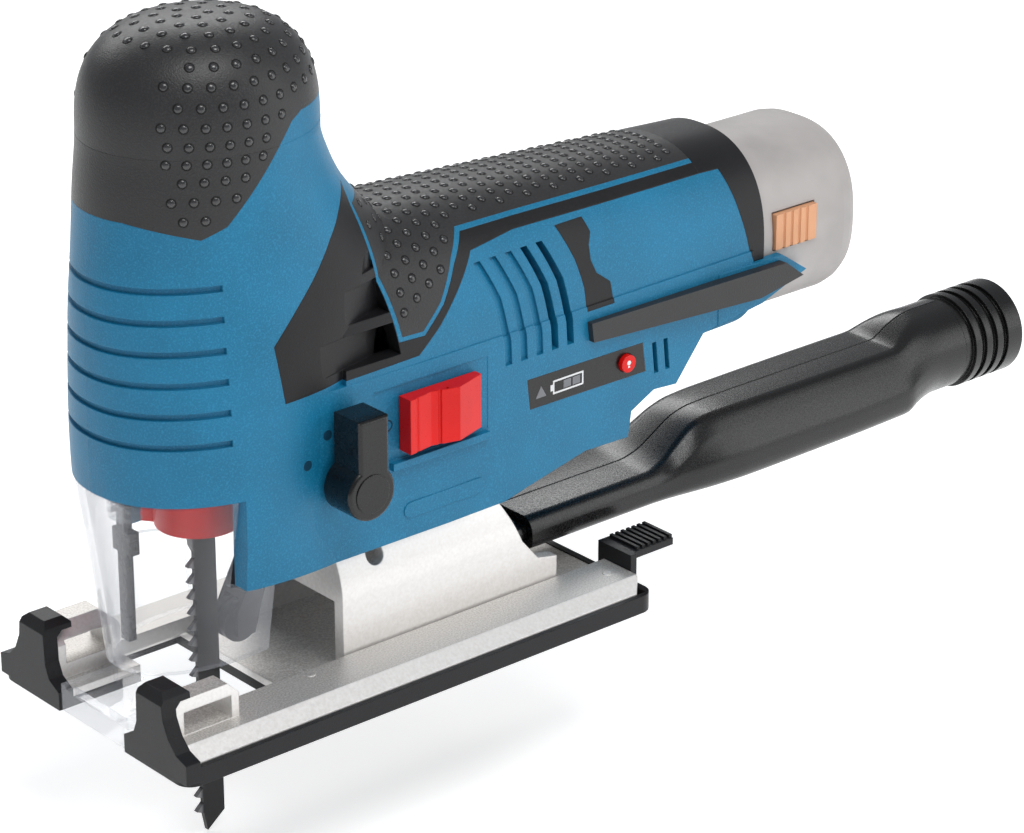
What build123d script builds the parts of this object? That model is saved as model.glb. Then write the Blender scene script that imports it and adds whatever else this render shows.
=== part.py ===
from build123d import *
import math
import os

# A barrel-grip cordless jigsaw, in millimetres.
# +X runs back along the barrel to the battery, -Y is the control side, +Z is up.
# The origin lies on the sole of the shoe, on the centre line, under the bevel saddle.

# ---- driving dimensions -------------------------------------------------------------
# clearances
FACE_GAP = 0.4           # between pieces that move past each other
RUN_GAP = 0.05           # radial, a shaft turning in its bore
SEAT_GAP = 0.1           # radial, a ring turned by hand on its seat

# shoe and base plate
SHOE_WIDTH = 74.0
SHOE_FRONT = -80.0
SHOE_REAR = 61.0
SOLE_THICK = 2.5
SOLE_WALL = 4.6          # height of the shoe's side wall
SHOE_RIM = 1.4           # thickness of that wall
PLATE_REAR = 59.0
PLATE_FLOOR = 4.4        # top of the plate's low centre
WING_TOP = 8.0
WING_INNER = 19.5        # inner edge of the raised wing, from the centre line
WING_FLAT = 32.0         # outer edge of the wing's flat top
LUG_HEIGHT = 20.0
LUG_OUTER = 28.0         # outer face of the loops and of the hooks over them
LOOP_TOP = 17.0
LOOP_INNER = 18.5
LOOP_REAR = -58.5
LOOP_RELIEF = 4.0        # bevel on the loops' inner top edges that clears the leaning guard
FENCE_X0 = -73.8         # slot for a fence bar, front and rear
FENCE_X1 = -60.6
FENCE_HEIGHT = 5.6
SIGHT_HALF = 13.0        # half width of the sight opening at the front
KERF_HALF = 23.5         # half width of the blade slot under the wings
KERF_FRONT = -57.0
KERF_REAR = -39.0

# bevel saddle
PIVOT_Z = 21.6           # bevel axis above the sole
ARCH_R = 19.7
ARCH_WALL = 3.2
ARCH_FRONT = -22.0
ARCH_REAR = 44.0
DUCT_TOP = 20.7
BEVEL_BOLT_X = 10.0
BEVEL_BOLT_R = 2.5

# head, barrel and shell
HEAD_X = -44.3           # centre of the head's dome
HEAD_HALF_X = 28.1
HEAD_HALF_Y = 24.9
DOME_BASE = 139.0
DOME_RISE = 25.2
BODY_BOTTOM = 36.5
BARREL_END = 108.1
BARREL_TOP = 110.5       # barrel's top at its front end
BARREL_FALL = 0.052      # how the top line falls towards the battery
BARREL_Z = 79.0
WALL = 4.4
SKIN = 1.8               # depth of the rubber and trim
SKIRT_Z = 59.0           # underside of the head's skirt, over the guard
SKIRT_X = -53.5          # rear frame of the guard opening
BLADE_BAY_HALF = 21.0
BLADE_BAY_REAR = -30.0
RIB_GROOVE = 1.6

# blade drive
BLADE_X = -48.0
BLADE_WIDTH = 8.0
BLADE_THICK = 1.3
BLADE_TOP = 51.0
BLADE_TIP = -37.0
TOOTH_PITCH = 4.0
TOOTH_DEPTH = 2.0
ROD_R = 5.0
ROD_TOP = 145.0
HOLDER_R = 7.5
HOLDER_LOW = 43.0
HOLDER_TOP = 53.0
CLAMP_R = 10.3
STROKE_DOWN = 14.0       # travel below the rest pose
STROKE_UP = 4.0          # travel above it
STROKE = STROKE_DOWN + STROKE_UP
GEAR_MODULE = 1.0
GEAR_TEETH = 36
PINION_TEETH = 8
GEAR_FRONT = -32.5
GEAR_REAR = -26.5
ARBOR_R = 4.0
PIN_R = 3.0
ROLLER_R = 4.2
YOKE_FRONT = -44.5
YOKE_HALF_Z = 7.0
YOKE_HALF_Y = 17.5

# motor
MOTOR_R = 18.0
MOTOR_FRONT = 6.0
MOTOR_REAR = 62.0
CAN_WALL = 1.2
SHAFT_R = 2.5
BEARING_R = 8.0
BEARING_W = 5.0
FAN_R = 16.5
FAN_FRONT = -12.0
FAN_REAR = -3.0

# battery
SOCKET_R = 20.9
SOCKET_FRONT = 66.0
STEM_R = 20.4
STEM_WALL = 1.2
STEM_FRONT = 73.0
PACK_END = 143.6
PACK_HALF_Y = 21.9
PACK_HALF_Z = 22.8
CELL_R = 8.8
CELL_LENGTH = 60.0

# dust tube
TUBE_FRONT = 42.0
PLUG_FRONT = 24.0
TUBE_HALF = 13.0
TUBE_LOW = 11.5
TUBE_TOP = 21.0
RAISED_TOP = 30.0
CUFF_START = 197.0
CUFF_END = 218.0
CUFF_R = 12.4
CUFF_BORE = 10.4
CUFF_Z = 22.5
TUBE_WALL = 1.8

# worked out from the sizes above
HALF_SHOE = SHOE_WIDTH / 2
CENTRE_DISTANCE = GEAR_MODULE * (GEAR_TEETH + PINION_TEETH) / 2
CRANK_Z = BARREL_Z + CENTRE_DISTANCE
CRANK_THROW = STROKE / 2
PIN_LIFT = (STROKE_DOWN - STROKE_UP) / 2
PIN_Y = math.sqrt(CRANK_THROW ** 2 - PIN_LIFT ** 2)
PIN_Z = CRANK_Z + PIN_LIFT
YOKE_REAR = -38.6
PIN_FRONT = YOKE_REAR + FACE_GAP
GUIDE_R = 5.0
GUIDE_X = BLADE_X + BLADE_WIDTH / 2 + GUIDE_R + FACE_GAP
GUIDE_Z = 15.5
ARM_PIVOT_X = -32.0
ARM_PIVOT_Z = 51.0
SELECTOR_X = -27.0
SELECTOR_Z = 57.0
PACK_Z = BARREL_Z - 0.8


# ---- small helpers ------------------------------------------------------------------
def block(x0, x1, y0, y1, z0, z1):
    """A box given by its faces."""
    middle = Pos((x0 + x1) / 2, (y0 + y1) / 2, (z0 + z1) / 2)
    return middle * Box(x1 - x0, y1 - y0, z1 - z0)


def rod_x(r, x0, x1, y=0.0, z=0.0):
    return Pos((x0 + x1) / 2, y, z) * Rot(0, 90, 0) * Cylinder(r, x1 - x0)


def rod_y(r, y0, y1, x=0.0, z=0.0):
    return Pos(x, (y0 + y1) / 2, z) * Rot(90, 0, 0) * Cylinder(r, y1 - y0)


def rod_z(r, z0, z1, x=0.0, y=0.0):
    return Pos(x, y, (z0 + z1) / 2) * Cylinder(r, z1 - z0)


def side_prism(points, y0, y1):
    """A side-view (X, Z) outline carried from y0 to y1."""
    face = make_face(Polyline(*[(x, y0, z) for x, z in points], close=True))
    return extrude(face, amount=y1 - y0, dir=(0, 1, 0))


def end_prism(points, x0, x1):
    """An end-view (Y, Z) outline carried from x0 to x1."""
    face = make_face(Polyline(*[(x0, y, z) for y, z in points], close=True))
    return extrude(face, amount=x1 - x0, dir=(1, 0, 0))


def plan_prism(points, z0, z1):
    """A plan (X, Y) outline carried from z0 to z1."""
    face = make_face(Polyline(*[(x, y, z0) for x, y in points], close=True))
    return extrude(face, amount=z1 - z0, dir=(0, 0, 1))


def both_sides(points):
    """A half outline in (Y, Z), mirrored across the centre line."""
    return points + [(-y, z) for y, z in reversed(points)]


def superellipse(half_a, half_b, power, count=28):
    """Points round an oval whose corners fill out as power rises above 2."""
    for i in range(count):
        c = math.cos(2 * math.pi * i / count)
        s = math.sin(2 * math.pi * i / count)
        yield (math.copysign(abs(c) ** (2 / power), c) * half_a,
               math.copysign(abs(s) ** (2 / power), s) * half_b)


def oval_z(x0, x1, half_y, power, z):
    """A level oval wire from x0 to x1 at height z."""
    centre = (x0 + x1) / 2
    points = [(centre + a, b, z) for a, b in superellipse((x1 - x0) / 2, half_y, power)]
    return Wire([Edge.make_spline([Vector(*p) for p in points], periodic=True)])


def oval_x(half_y, z_low, z_high, power, x):
    """An upright oval wire across the barrel at x."""
    centre = (z_low + z_high) / 2
    points = [(x, a, centre + b)
              for a, b in superellipse(half_y, (z_high - z_low) / 2, power)]
    return Wire([Edge.make_spline([Vector(*p) for p in points], periodic=True)])


def save(node, shape):
    """Write one sub-part under its node's name."""
    if isinstance(shape, ShapeList):
        shape = Compound(children=list(shape))
    shape.label = node
    export_step(shape, f"parts/{node}.step")


# ---- outer form ---------------------------------------------------------------------
# height, front, rear, half width and power of the head's level sections
HEAD_SECTIONS = [
    (30.0, -75.5, -8.0, 27.0, 2.15), (45.0, -76.2, -8.0, 27.2, 2.15),
    (60.0, -76.8, -8.0, 27.3, 2.15), (75.0, -77.0, -6.0, 27.3, 2.15),
    (90.0, -76.7, 0.0, 27.1, 2.15), (102.0, -76.2, 4.0, 26.7, 2.15),
    (112.0, -75.2, -1.5, 26.2, 2.1), (122.0, -74.2, -10.0, 25.7, 2.05),
    (131.0, -73.3, -14.6, 25.3, 2.0),
    (DOME_BASE, HEAD_X - HEAD_HALF_X, HEAD_X + HEAD_HALF_X, HEAD_HALF_Y, 2.0)]
DOME_POWER = 2.75
DOME_LAP = 4.0           # how far the dome reaches down inside the head
DOME_STEP = 0.05         # how far the dome stands in from the head at their joint
BARREL_POWER = 2.4

# distance along the barrel, half width and half height there
BARREL_SECTIONS = [(-25.0, 26.5, 30.0), (10.0, 26.2, 29.6), (45.0, 25.3, 28.3),
                   (78.0, 24.4, 27.2), (BARREL_END, 23.5, 26.1)]

# side view of the body under the barrel, and its half width from front to rear
BELLY = [(-46.0, BODY_BOTTOM), (22.0, BODY_BOTTOM), (29.5, 38.2), (48.0, 42.0), (62.0, 41.5),
         (63.0, 48.0), (70.5, 51.6), (78.0, 51.0), (87.0, 61.7), (104.0, 65.4),
         (104.0, BARREL_Z), (-46.0, BARREL_Z)]
BELLY_WIDTHS = [(-60.0, 26.6), (4.0, 26.6), (40.0, 25.7), (75.0, 24.9), (BARREL_END, 24.0)]


def head(inset):
    """The upright grip: level ovals closed by a dome."""
    wires = []
    for z, front, rear, half, power in HEAD_SECTIONS:
        wires.append(oval_z(front + inset, rear - inset, half - inset, power, z))
    return Solid.make_loft(wires) + dome(inset)


def dome(inset):
    """The rounded top of the head, turned and then narrowed across."""
    radius = HEAD_HALF_X - inset - DOME_STEP
    rise = DOME_RISE - inset
    steps = 14
    curve = [(radius, 0.0, DOME_BASE)]
    for i in range(1, steps):
        angle = math.pi / 2 * i / steps
        curve.append((radius * math.cos(angle) ** (2 / DOME_POWER), 0.0,
                      DOME_BASE + rise * math.sin(angle) ** (2 / DOME_POWER)))
    curve.append((0.0, 0.0, DOME_BASE + rise))
    top = Spline(*curve, tangents=[(0, 0, 1), (-1, 0, 0)])
    low = DOME_BASE - DOME_LAP
    rest = Polyline((0.0, 0.0, DOME_BASE + rise), (0.0, 0.0, low), (radius, 0.0, low),
                    (radius, 0.0, DOME_BASE))
    turned = revolve(make_face([*top.edges(), *rest.edges()]), Axis.Z)
    across = (HEAD_HALF_Y - inset - DOME_STEP) / radius
    return Pos(HEAD_X, 0, 0) * scale(turned, by=(1, across, 1))


def barrel(inset):
    """The motor barrel: upright ovals narrowing towards the battery."""
    wires = []
    for x, half_y, half_z in BARREL_SECTIONS:
        top = BARREL_TOP - BARREL_FALL * (x - 4.0)
        wires.append(oval_x(half_y - inset, top - 2 * half_z + inset, top - inset,
                            BARREL_POWER, x))
    return Solid.make_loft(wires)


def belly(inset):
    """The slab-sided body between the barrel and the base."""
    face = make_face(Polyline(*[(x, -30.0, z) for x, z in BELLY], close=True))
    if inset:
        face = offset(face, amount=-inset, kind=Kind.INTERSECTION)
    slab = extrude(face, amount=60.0, dir=(0, 1, 0))
    right = [(x, y - inset) for x, y in BELLY_WIDTHS]
    left = [(x, -y) for x, y in reversed(right)]
    return slab & plan_prism(right + left, BODY_BOTTOM - 1, BARREL_Z + 1)


def body_form(inset):
    """The whole outer form, drawn in by inset."""
    return head(inset) + barrel(inset) + belly(inset)


outer = body_form(0.0)
under_skin = body_form(SKIN)
inner = body_form(WALL)

# side-view outlines of the trim
CAP = [(-90.0, 124.5), (-72.0, 124.5), (-60.0, 121.0), (-54.5, 123.5), (-36.5, 143.5),
       (-33.0, 145.0), (-5.0, 145.0), (-5.0, 180.0), (-90.0, 180.0)]
GRIP = [(-15.9, 118.2), (-8.6, 86.5), (-2.4, 86.3), (3.4, 91.6), (9.5, 100.0), (14.5, 105.0),
        (32.3, 104.6), (60.8, 103.8), (91.5, 103.0), (91.5, 118.2)]
FIN_PANEL = [(-17.3, 123.4), (-22.6, 119.2), (-27.5, 114.4), (-33.7, 106.7), (-45.0, 93.8),
             (-42.7, 79.8), (-3.8, 80.8), (2.6, 86.2), (9.5, 93.5), (9.5, 98.2), (4.3, 91.0),
             (-2.0, 85.2), (-9.6, 85.5), (-16.9, 118.0)]
BAND = [(9.5, 93.5), (15.7, 100.1), (29.8, 101.4), (58.1, 100.7), (91.5, 100.1),
        (91.5, 102.2), (60.8, 102.9), (32.3, 103.7), (15.2, 104.0), (9.5, 98.2)]
COLLAR = [(91.5, 120.0), (91.5, 100.1), (97.9, 99.8), (100.3, 88.8), (103.3, 78.0),
          (104.2, 75.8), (BARREL_END + 1, 75.8), (BARREL_END + 1, 120.0)]
VENT_TRIM = [(42.0, 99.6), (50.9, 99.6), (51.9, 96.1), (50.4, 93.5), (50.2, 90.0),
             (51.6, 86.6), (55.9, 83.4), (57.0, 77.7), (48.2, 77.7), (47.4, 84.0),
             (45.2, 91.5)]
PANEL = [(29.0, 65.6), (29.9, 57.8), (67.6, 57.2), (66.5, 65.0)]
LAMP_BUTTON = (60.9, 61.3)
LAMP_BUTTON_R = 2.2


def skin_piece(outline):
    """Trim that fills the outer skin inside a side-view outline."""
    prism = side_prism(outline, -40.0, 40.0)
    return (outer & prism) - under_skin


def half_of(shape, side):
    """The part of a shape on one side, -1 left and +1 right."""
    keep = block(-200, 300, min(0, side * 60), max(0, side * 60), -60, 200)
    return shape & keep


# ---- trim ---------------------------------------------------------------------------
head_grip = skin_piece(CAP)
barrel_grip = skin_piece(GRIP)
rear_collar = (outer & side_prism(COLLAR, -40.0, 40.0)) - rod_x(
    SOCKET_R, SOCKET_FRONT, BARREL_END + 1, z=BARREL_Z)


def scoops():
    """Three air scoops that deepen towards the motor and open into the fan's space."""
    cuts = []
    for z0, z1, front in ((82.6, 90.6, -38.0), (93.0, 101.2, -31.0), (103.6, 112.0, -24.0)):
        tilt = 0.36
        rear0 = -9.9 - (z0 - 86) * 0.215
        rear1 = -9.9 - (z1 - 86) * 0.215
        outline = [(front - tilt * (z0 - z1), z1), (front, z0), (rear0, z0), (rear1, z1)]
        wedge = [(front, 28.2), (rear0 + 6, 28.2), (rear0 + 6, 19.0), (-16.5, 23.0)]
        cuts.append((side_prism(outline, -40, 40), wedge, z0, z1))
    tools = []
    for prism, wedge, z0, z1 in cuts:
        ramp = plan_prism(wedge, z0 - 1, z1 + 1)
        mirrored = plan_prism([(x, -y) for x, y in wedge], z0 - 1, z1 + 1)
        tools.append(prism & (ramp + mirrored))
    return tools


panel_insert = (outer & side_prism(FIN_PANEL, -40, 40)) - inner
for scoop in scoops():
    panel_insert = panel_insert - scoop
side_trim = panel_insert + skin_piece(BAND)
vent_trim = skin_piece(VENT_TRIM)
control_panel = half_of(skin_piece(PANEL), -1)
control_panel = control_panel - rod_y(LAMP_BUTTON_R + 0.15, -40, 0, *LAMP_BUTTON)


# ---- shell --------------------------------------------------------------------------
BOSSES = [(-59.0, 91.5), (-59.0, 113.1), (20.0, 50.0), (66.0, 57.5)]
BOSS_R = 2.6
SCREW_R = 1.4
SCREW_HEAD_R = 2.3
SCREW_SEAT = 17.0


def cavity():
    """The hollow of the closed shell."""
    hollow = inner & block(-100, SOCKET_FRONT, -60, 60, 0, 200)
    hollow = hollow - block(-100, BLADE_BAY_REAR + 4, -60, 60, 0, SKIRT_Z + 4)
    hollow = hollow - rod_x(ARCH_R + 4.4, -100, 100, z=PIVOT_Z)
    hollow = hollow + rod_x(SOCKET_R, SOCKET_FRONT - 1, BARREL_END + 5, z=BARREL_Z)
    for x, z in BOSSES:
        hollow = hollow - rod_y(BOSS_R, -40, 40, x, z)
    return hollow


def battery_arms():
    """Two pointed arms that run back beside the battery."""
    outline = [(92.0, 62.6), (107.0, 64.6), (122.0, 70.0), (113.5, 75.8), (92.0, 75.8)]
    arms = []
    for side in (-1, 1):
        y0, y1 = sorted((side * 22.5, side * 24.6))
        arms.append(side_prism(outline, y0, y1))
    return arms


def rib_grooves():
    """Level grooves that make the ribs round the front of the head."""
    keep = block(-90, -56, -40, 40, 60, 120)
    tools = []
    for i in range(6):
        z = 73.5 + i * 7.2
        tools.append(block(-90, -56, -40, 40, z - RIB_GROOVE / 2, z + RIB_GROOVE / 2))
    grooves = []
    shallow = head(0.9)
    for tool in tools:
        grooves.append((tool & keep) - shallow)
    return grooves


def vent_slots(depth_power):
    """Leaning louvre slots over the motor: open ones pierce the wall."""
    slots = []
    for i in range(5):
        shift = -4.9 * i
        is_open = i < 2
        if is_open != depth_power:
            continue
        outline = [(34.8 + shift, 97.5), (36.8 + shift, 97.5), (41.0 + shift, 88.0),
                   (43.6 + shift, 77.0), (43.9 + shift, 71.0), (41.8 + shift, 71.0),
                   (41.4 + shift, 77.0), (38.8 + shift, 88.0)]
        slots.append(side_prism(outline, -40, 40))
    return slots


def shell():
    """Both shells as one, before they are split down the middle."""
    body = outer - cavity() - block(-100, 150, -40, 40, 0, BODY_BOTTOM)
    body = body - block(-100, SKIRT_X, -40, 40, 0, SKIRT_Z)
    body = body - block(-100, BLADE_BAY_REAR, -BLADE_BAY_HALF, BLADE_BAY_HALF, 0, SKIRT_Z)
    body = body - rod_x(ARCH_R + 0.3, -100, 100, z=PIVOT_Z)
    body = body - rod_z(9.0, SKIRT_Z - 5, SKIRT_Z + 6, BLADE_X)
    for arm in battery_arms():
        body = body + arm
    fin_opening = side_prism(FIN_PANEL, -40, 40) & (outer - inner)
    tools = [head_grip, barrel_grip, rear_collar, vent_trim, fin_opening, skin_piece(BAND)]
    tools += rib_grooves() + vent_slots(True)
    shallow = body_form(0.8)
    for slot in vent_slots(False):
        tools.append((slot & block(0, 60, -40, 40, 68, 100)) - shallow)
    for x in (69.6, 73.4):
        tools.append(side_prism([(x, 64.0), (x + 0.9, 55.8), (x + 2.3, 55.8), (x + 1.4, 64.0)],
                                -40, 40))
    return body - tools


SWITCH_X0 = -10.0
SWITCH_X1 = 12.6
SWITCH_Z0 = 59.2
SWITCH_Z1 = 72.6
SWITCH_TRAVEL = 5.0
SWITCH_FLOOR = -26.2     # the flat that the switch slides over
SWITCH_STEM = (-1.0, 7.0, 59.9, 63.7)


def control_side_cuts():
    """The switch track and slot, the panel's seat and the selector's hole."""
    x0, x1, z0, z1 = SWITCH_STEM
    cuts = [block(SWITCH_X0 - 7.5, SWITCH_X1 + 4, -40, SWITCH_FLOOR, SWITCH_Z0 - 2.2, 75.2),
            block(x0 - SWITCH_TRAVEL - FACE_GAP, x1 + FACE_GAP, -40, -18,
                  z0 - FACE_GAP, z1 + FACE_GAP),
            control_panel,
            rod_y(LAMP_BUTTON_R + 0.15, -40, -15, *LAMP_BUTTON),
            rod_y(4.0 + RUN_GAP, -40, -18, SELECTOR_X, SELECTOR_Z)]
    return cuts


housing_screws = []
screw_holes = []
for x, z in BOSSES:
    shank = rod_y(SCREW_R, -10.0, SCREW_SEAT, x, z)
    head_disc = rod_y(SCREW_HEAD_R, SCREW_SEAT, SCREW_SEAT + 2, x, z)
    housing_screws.append(shank + head_disc)
    screw_holes += [shank, rod_y(SCREW_HEAD_R, SCREW_SEAT, 40, x, z)]
LAMP = (-63.0, 10.0)
work_lamp = rod_z(2.6, SKIRT_Z - 0.6, SKIRT_Z + 4, *LAMP)
bar_slot = block(-69.6, -67.6, -1.6, 1.6, SKIRT_Z - 1, SKIRT_Z + 4.2)
bolt_hole = rod_z(BEVEL_BOLT_R + 0.1, 30, 60, BEVEL_BOLT_X)
left_form = half_of(shell() - [bar_slot, bolt_hole], -1)
housing_left = left_form - (control_side_cuts() + screw_holes)
housing_right = mirror(left_form, about=Plane.XZ) - (screw_holes + [work_lamp])


# ---- base ---------------------------------------------------------------------------
def base_plate():
    """Cast plate with raised wings, front fence loops and the bevel arch."""
    section = both_sides([(HALF_SHOE - SHOE_RIM - 0.1, SOLE_THICK), (HALF_SHOE - SHOE_RIM - 0.1, 4.9),
                          (WING_FLAT, WING_TOP), (WING_INNER + 0.8, WING_TOP),
                          (WING_INNER, PLATE_FLOOR)])
    plate = end_prism(section, SHOE_FRONT + 4, PLATE_REAR)
    corner = 4.0
    for side in (-1, 1):
        edge = side * (HALF_SHOE - SHOE_RIM)
        plate = plate - plan_prism([(PLATE_REAR + 1, edge - side * corner), (PLATE_REAR + 1, edge + side),
                                    (PLATE_REAR - corner, edge + side)], 0, 20)
    for side in (-1, 1):
        y0, y1 = sorted((side * LOOP_INNER, side * LUG_OUTER))
        loop = side_prism([(-76.0, SOLE_THICK), (-76.0, 15.6), (-74.6, LOOP_TOP),
                           (LOOP_REAR - 3.0, LOOP_TOP), (LOOP_REAR, 14.0), (LOOP_REAR, SOLE_THICK)],
                          y0, y1)
        inner_y = side * (LOOP_INNER - 1)
        outer_y = side * (LOOP_INNER + LOOP_RELIEF + 1)
        relief = [(inner_y, LOOP_TOP - LOOP_RELIEF - 1), (outer_y, LOOP_TOP + 1),
                  (inner_y, LOOP_TOP + 1)]
        plate = plate + (loop - end_prism(relief, SHOE_FRONT, LOOP_REAR + 1))
    plate = plate - block(FENCE_X0, FENCE_X1, -60, 60, WING_TOP + 0.2, WING_TOP + 0.2 + FENCE_HEIGHT)
    ring = rod_x(ARCH_R, ARCH_FRONT, ARCH_REAR, z=PIVOT_Z)
    legs = block(ARCH_FRONT, ARCH_REAR, -ARCH_R, ARCH_R, SOLE_THICK, PIVOT_Z)
    arch_side = [(ARCH_FRONT, SOLE_THICK), (ARCH_FRONT, 50.0), (18.0, 50.0), (26.0, 34.8),
                 (30.0, 26.8), (33.0, 20.4), (38.0, 14.5), (ARCH_REAR, 13.3),
                 (ARCH_REAR, SOLE_THICK)]
    arch = (ring + legs) & side_prism(arch_side, -40, 40)
    plate = plate + arch
    inner_r = ARCH_R - ARCH_WALL
    duct = rod_x(inner_r, ARCH_FRONT + 3, ARCH_REAR + 10, z=PIVOT_Z)
    duct = duct + block(ARCH_FRONT + 3, ARCH_REAR + 30, -inner_r, inner_r, PLATE_FLOOR, PIVOT_Z)
    mouth = rod_x(inner_r, ARCH_FRONT - 5, ARCH_FRONT + 4, z=PIVOT_Z)
    mouth = mouth + block(ARCH_FRONT - 5, ARCH_FRONT + 4, -inner_r, inner_r, PLATE_FLOOR, PIVOT_Z)
    mouth = mouth & block(-60, 0, -40, 40, PLATE_FLOOR, DUCT_TOP)
    plate = plate - duct - mouth
    plate = plate - bevel_slot()
    plate = plate - rod_y(2.5, -30, 30, -11.0, 30.0)
    return plate - sight_opening(SOLE_THICK - 1, 30) - kerf_slot(0, PLATE_FLOOR, 1.5)


def bevel_slot():
    """Slot round the arch that lets the bevel bolt swing 45 degrees each way."""
    width = BEVEL_BOLT_R + 0.3
    ring = rod_x(ARCH_R + 2, BEVEL_BOLT_X - width, BEVEL_BOLT_X + width, z=PIVOT_Z)
    ring = ring - rod_x(ARCH_R - ARCH_WALL - 2, -20, 40, z=PIVOT_Z)
    reach = 60.0
    span = math.radians(57)
    fan = end_prism([(0, PIVOT_Z), (reach * math.sin(span), PIVOT_Z + reach * math.cos(span)),
                     (-reach * math.sin(span), PIVOT_Z + reach * math.cos(span))],
                    BEVEL_BOLT_X - 10, BEVEL_BOLT_X + 10)
    return ring & fan


def sight_opening(z0, z1):
    """Opening from the front edge back to the blade."""
    return block(SHOE_FRONT - 10, KERF_REAR, -SIGHT_HALF, SIGHT_HALF, z0, z1)


def kerf_slot(z0, z1, narrower):
    """Cross slot that lets the blade lean when the tool is bevelled."""
    half = KERF_HALF - narrower
    return block(KERF_FRONT, KERF_REAR, -half, half, z0, z1)


def glide_shoe():
    """Plastic shoe clipped over the plate: sole, rim, front hooks and rear release tab."""
    sole = block(SHOE_FRONT, SHOE_REAR, -HALF_SHOE, HALF_SHOE, 0, SOLE_WALL)
    upright = sole.edges().filter_by(Axis.Z)
    sole = fillet(upright, 4.0)
    tray = block(SHOE_FRONT + 4, PLATE_REAR + 0.1, -HALF_SHOE + SHOE_RIM, HALF_SHOE - SHOE_RIM,
                 SOLE_THICK, 10)
    shoe = sole - tray
    for side in (-1, 1):
        y0, y1 = sorted((side * SIGHT_HALF, side * HALF_SHOE))
        hook = side_prism([(SHOE_FRONT, 1.0), (SHOE_FRONT, 17.4), (-78.4, LUG_HEIGHT),
                           (-73.5, LUG_HEIGHT), (-72.0, 18.6), (-72.0, LOOP_TOP + 0.1),
                           (-74.7, LOOP_TOP + 0.1), (-76.1, 15.7), (-76.1, 1.0)], y0, y1)
        front_view = [(SIGHT_HALF + 0.4, 1.0), (SIGHT_HALF + 0.4, 4.8), (16.8, 6.6), (18.2, 10.0),
                      (LOOP_INNER, 18.4), (20.0, LUG_HEIGHT), (LUG_OUTER - 1.8, LUG_HEIGHT),
                      (LUG_OUTER, 18.6), (LUG_OUTER + 0.5, 14.0), (LUG_OUTER + 2.4, 10.0),
                      (LUG_OUTER + 5.2, 7.2), (HALF_SHOE, 6.0), (HALF_SHOE, 1.0)]
        outline = [(side * y, z) for y, z in front_view]
        shoe = shoe + (hook & end_prism(outline, SHOE_FRONT - 1, -70))
    riser = block(PLATE_REAR + 0.1, SHOE_REAR, -30, -18, 0.5, 12.2)
    tab = block(PLATE_REAR + 0.1, SHOE_REAR + 13, -38 + 9, -18, 10.4, 12.2)
    shoe = shoe + riser + tab
    for i in range(7):
        x = SHOE_REAR + 1.4 + i * 1.8
        shoe = shoe + block(x, x + 0.9, -28.5, -18.5, 12.0, 13.0)
    return shoe - sight_opening(-1, 30) - kerf_slot(-1, 5, 0)


def splinter_guard():
    """Clear insert that slides into the sight opening from the front."""
    half = SIGHT_HALF - FACE_GAP
    rear = KERF_FRONT - 2.0
    insert = block(SHOE_FRONT + 0.5, rear, -half, half, 0.3, 3.4)
    insert = insert + block(SHOE_FRONT + 0.5, SHOE_FRONT + 3, -half, half, 0.3, 6.4)
    for side in (-1, 1):
        y0, y1 = sorted((side * (half - 2), side * half))
        insert = insert + block(SHOE_FRONT + 0.5, rear - 6, y0, y1, 3.3, 7.2)
    return insert - block(rear - 9, rear + 1, -1.6, 1.6, -1, 10)


# ---- bevel clamp --------------------------------------------------------------------
duct_r = ARCH_R - ARCH_WALL
BOLT_HEAD_TOP = PIVOT_Z + 14.6
bevel_bolt = rod_z(BEVEL_BOLT_R, BOLT_HEAD_TOP - 1, 50.0, BEVEL_BOLT_X)
bolt_head = rod_z(4.4, BOLT_HEAD_TOP - 3.6, BOLT_HEAD_TOP, BEVEL_BOLT_X)
hex_socket = extrude(Plane.XY.offset(BOLT_HEAD_TOP - 3.6) * Pos(BEVEL_BOLT_X, 0) *
                     RegularPolygon(2.3, 6), amount=2.2)
bevel_bolt = bevel_bolt + bolt_head - hex_socket
saddle_washer = (rod_x(duct_r - FACE_GAP, BEVEL_BOLT_X - 6, BEVEL_BOLT_X + 6, z=PIVOT_Z)
                 & block(-20, 40, -8, 8, BOLT_HEAD_TOP, 60)) - rod_z(BEVEL_BOLT_R, 20, 60, BEVEL_BOLT_X)
bevel_nut = extrude(Plane.XY.offset(46.4) * Pos(BEVEL_BOLT_X, 0) * RegularPolygon(5.0, 6),
                    amount=3.2) - rod_z(BEVEL_BOLT_R, 20, 60, BEVEL_BOLT_X)


# ---- blade drive --------------------------------------------------------------------
def gear(teeth, x0, x1, centre_z, bore, tooth_at_top):
    """A spur gear along X. One tooth, or one gap, points straight down at rest."""
    pitch_r = GEAR_MODULE * teeth / 2
    tip_r = pitch_r + 0.9 * GEAR_MODULE
    root_r = pitch_r - 1.15 * GEAR_MODULE
    step = 2 * math.pi / teeth
    points = []
    first = math.pi / 2 if tooth_at_top else -math.pi / 2 + step / 2
    for i in range(teeth):
        middle = first + i * step
        for r, share in ((root_r, -0.33), (pitch_r, -0.225), (tip_r, -0.10),
                         (tip_r, 0.10), (pitch_r, 0.225), (root_r, 0.33)):
            angle = middle + share * step
            points.append((r * math.cos(angle), centre_z + r * math.sin(angle)))
    return end_prism(points, x0, x1) - rod_x(bore, x0 - 1, x1 + 1, z=centre_z)


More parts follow.
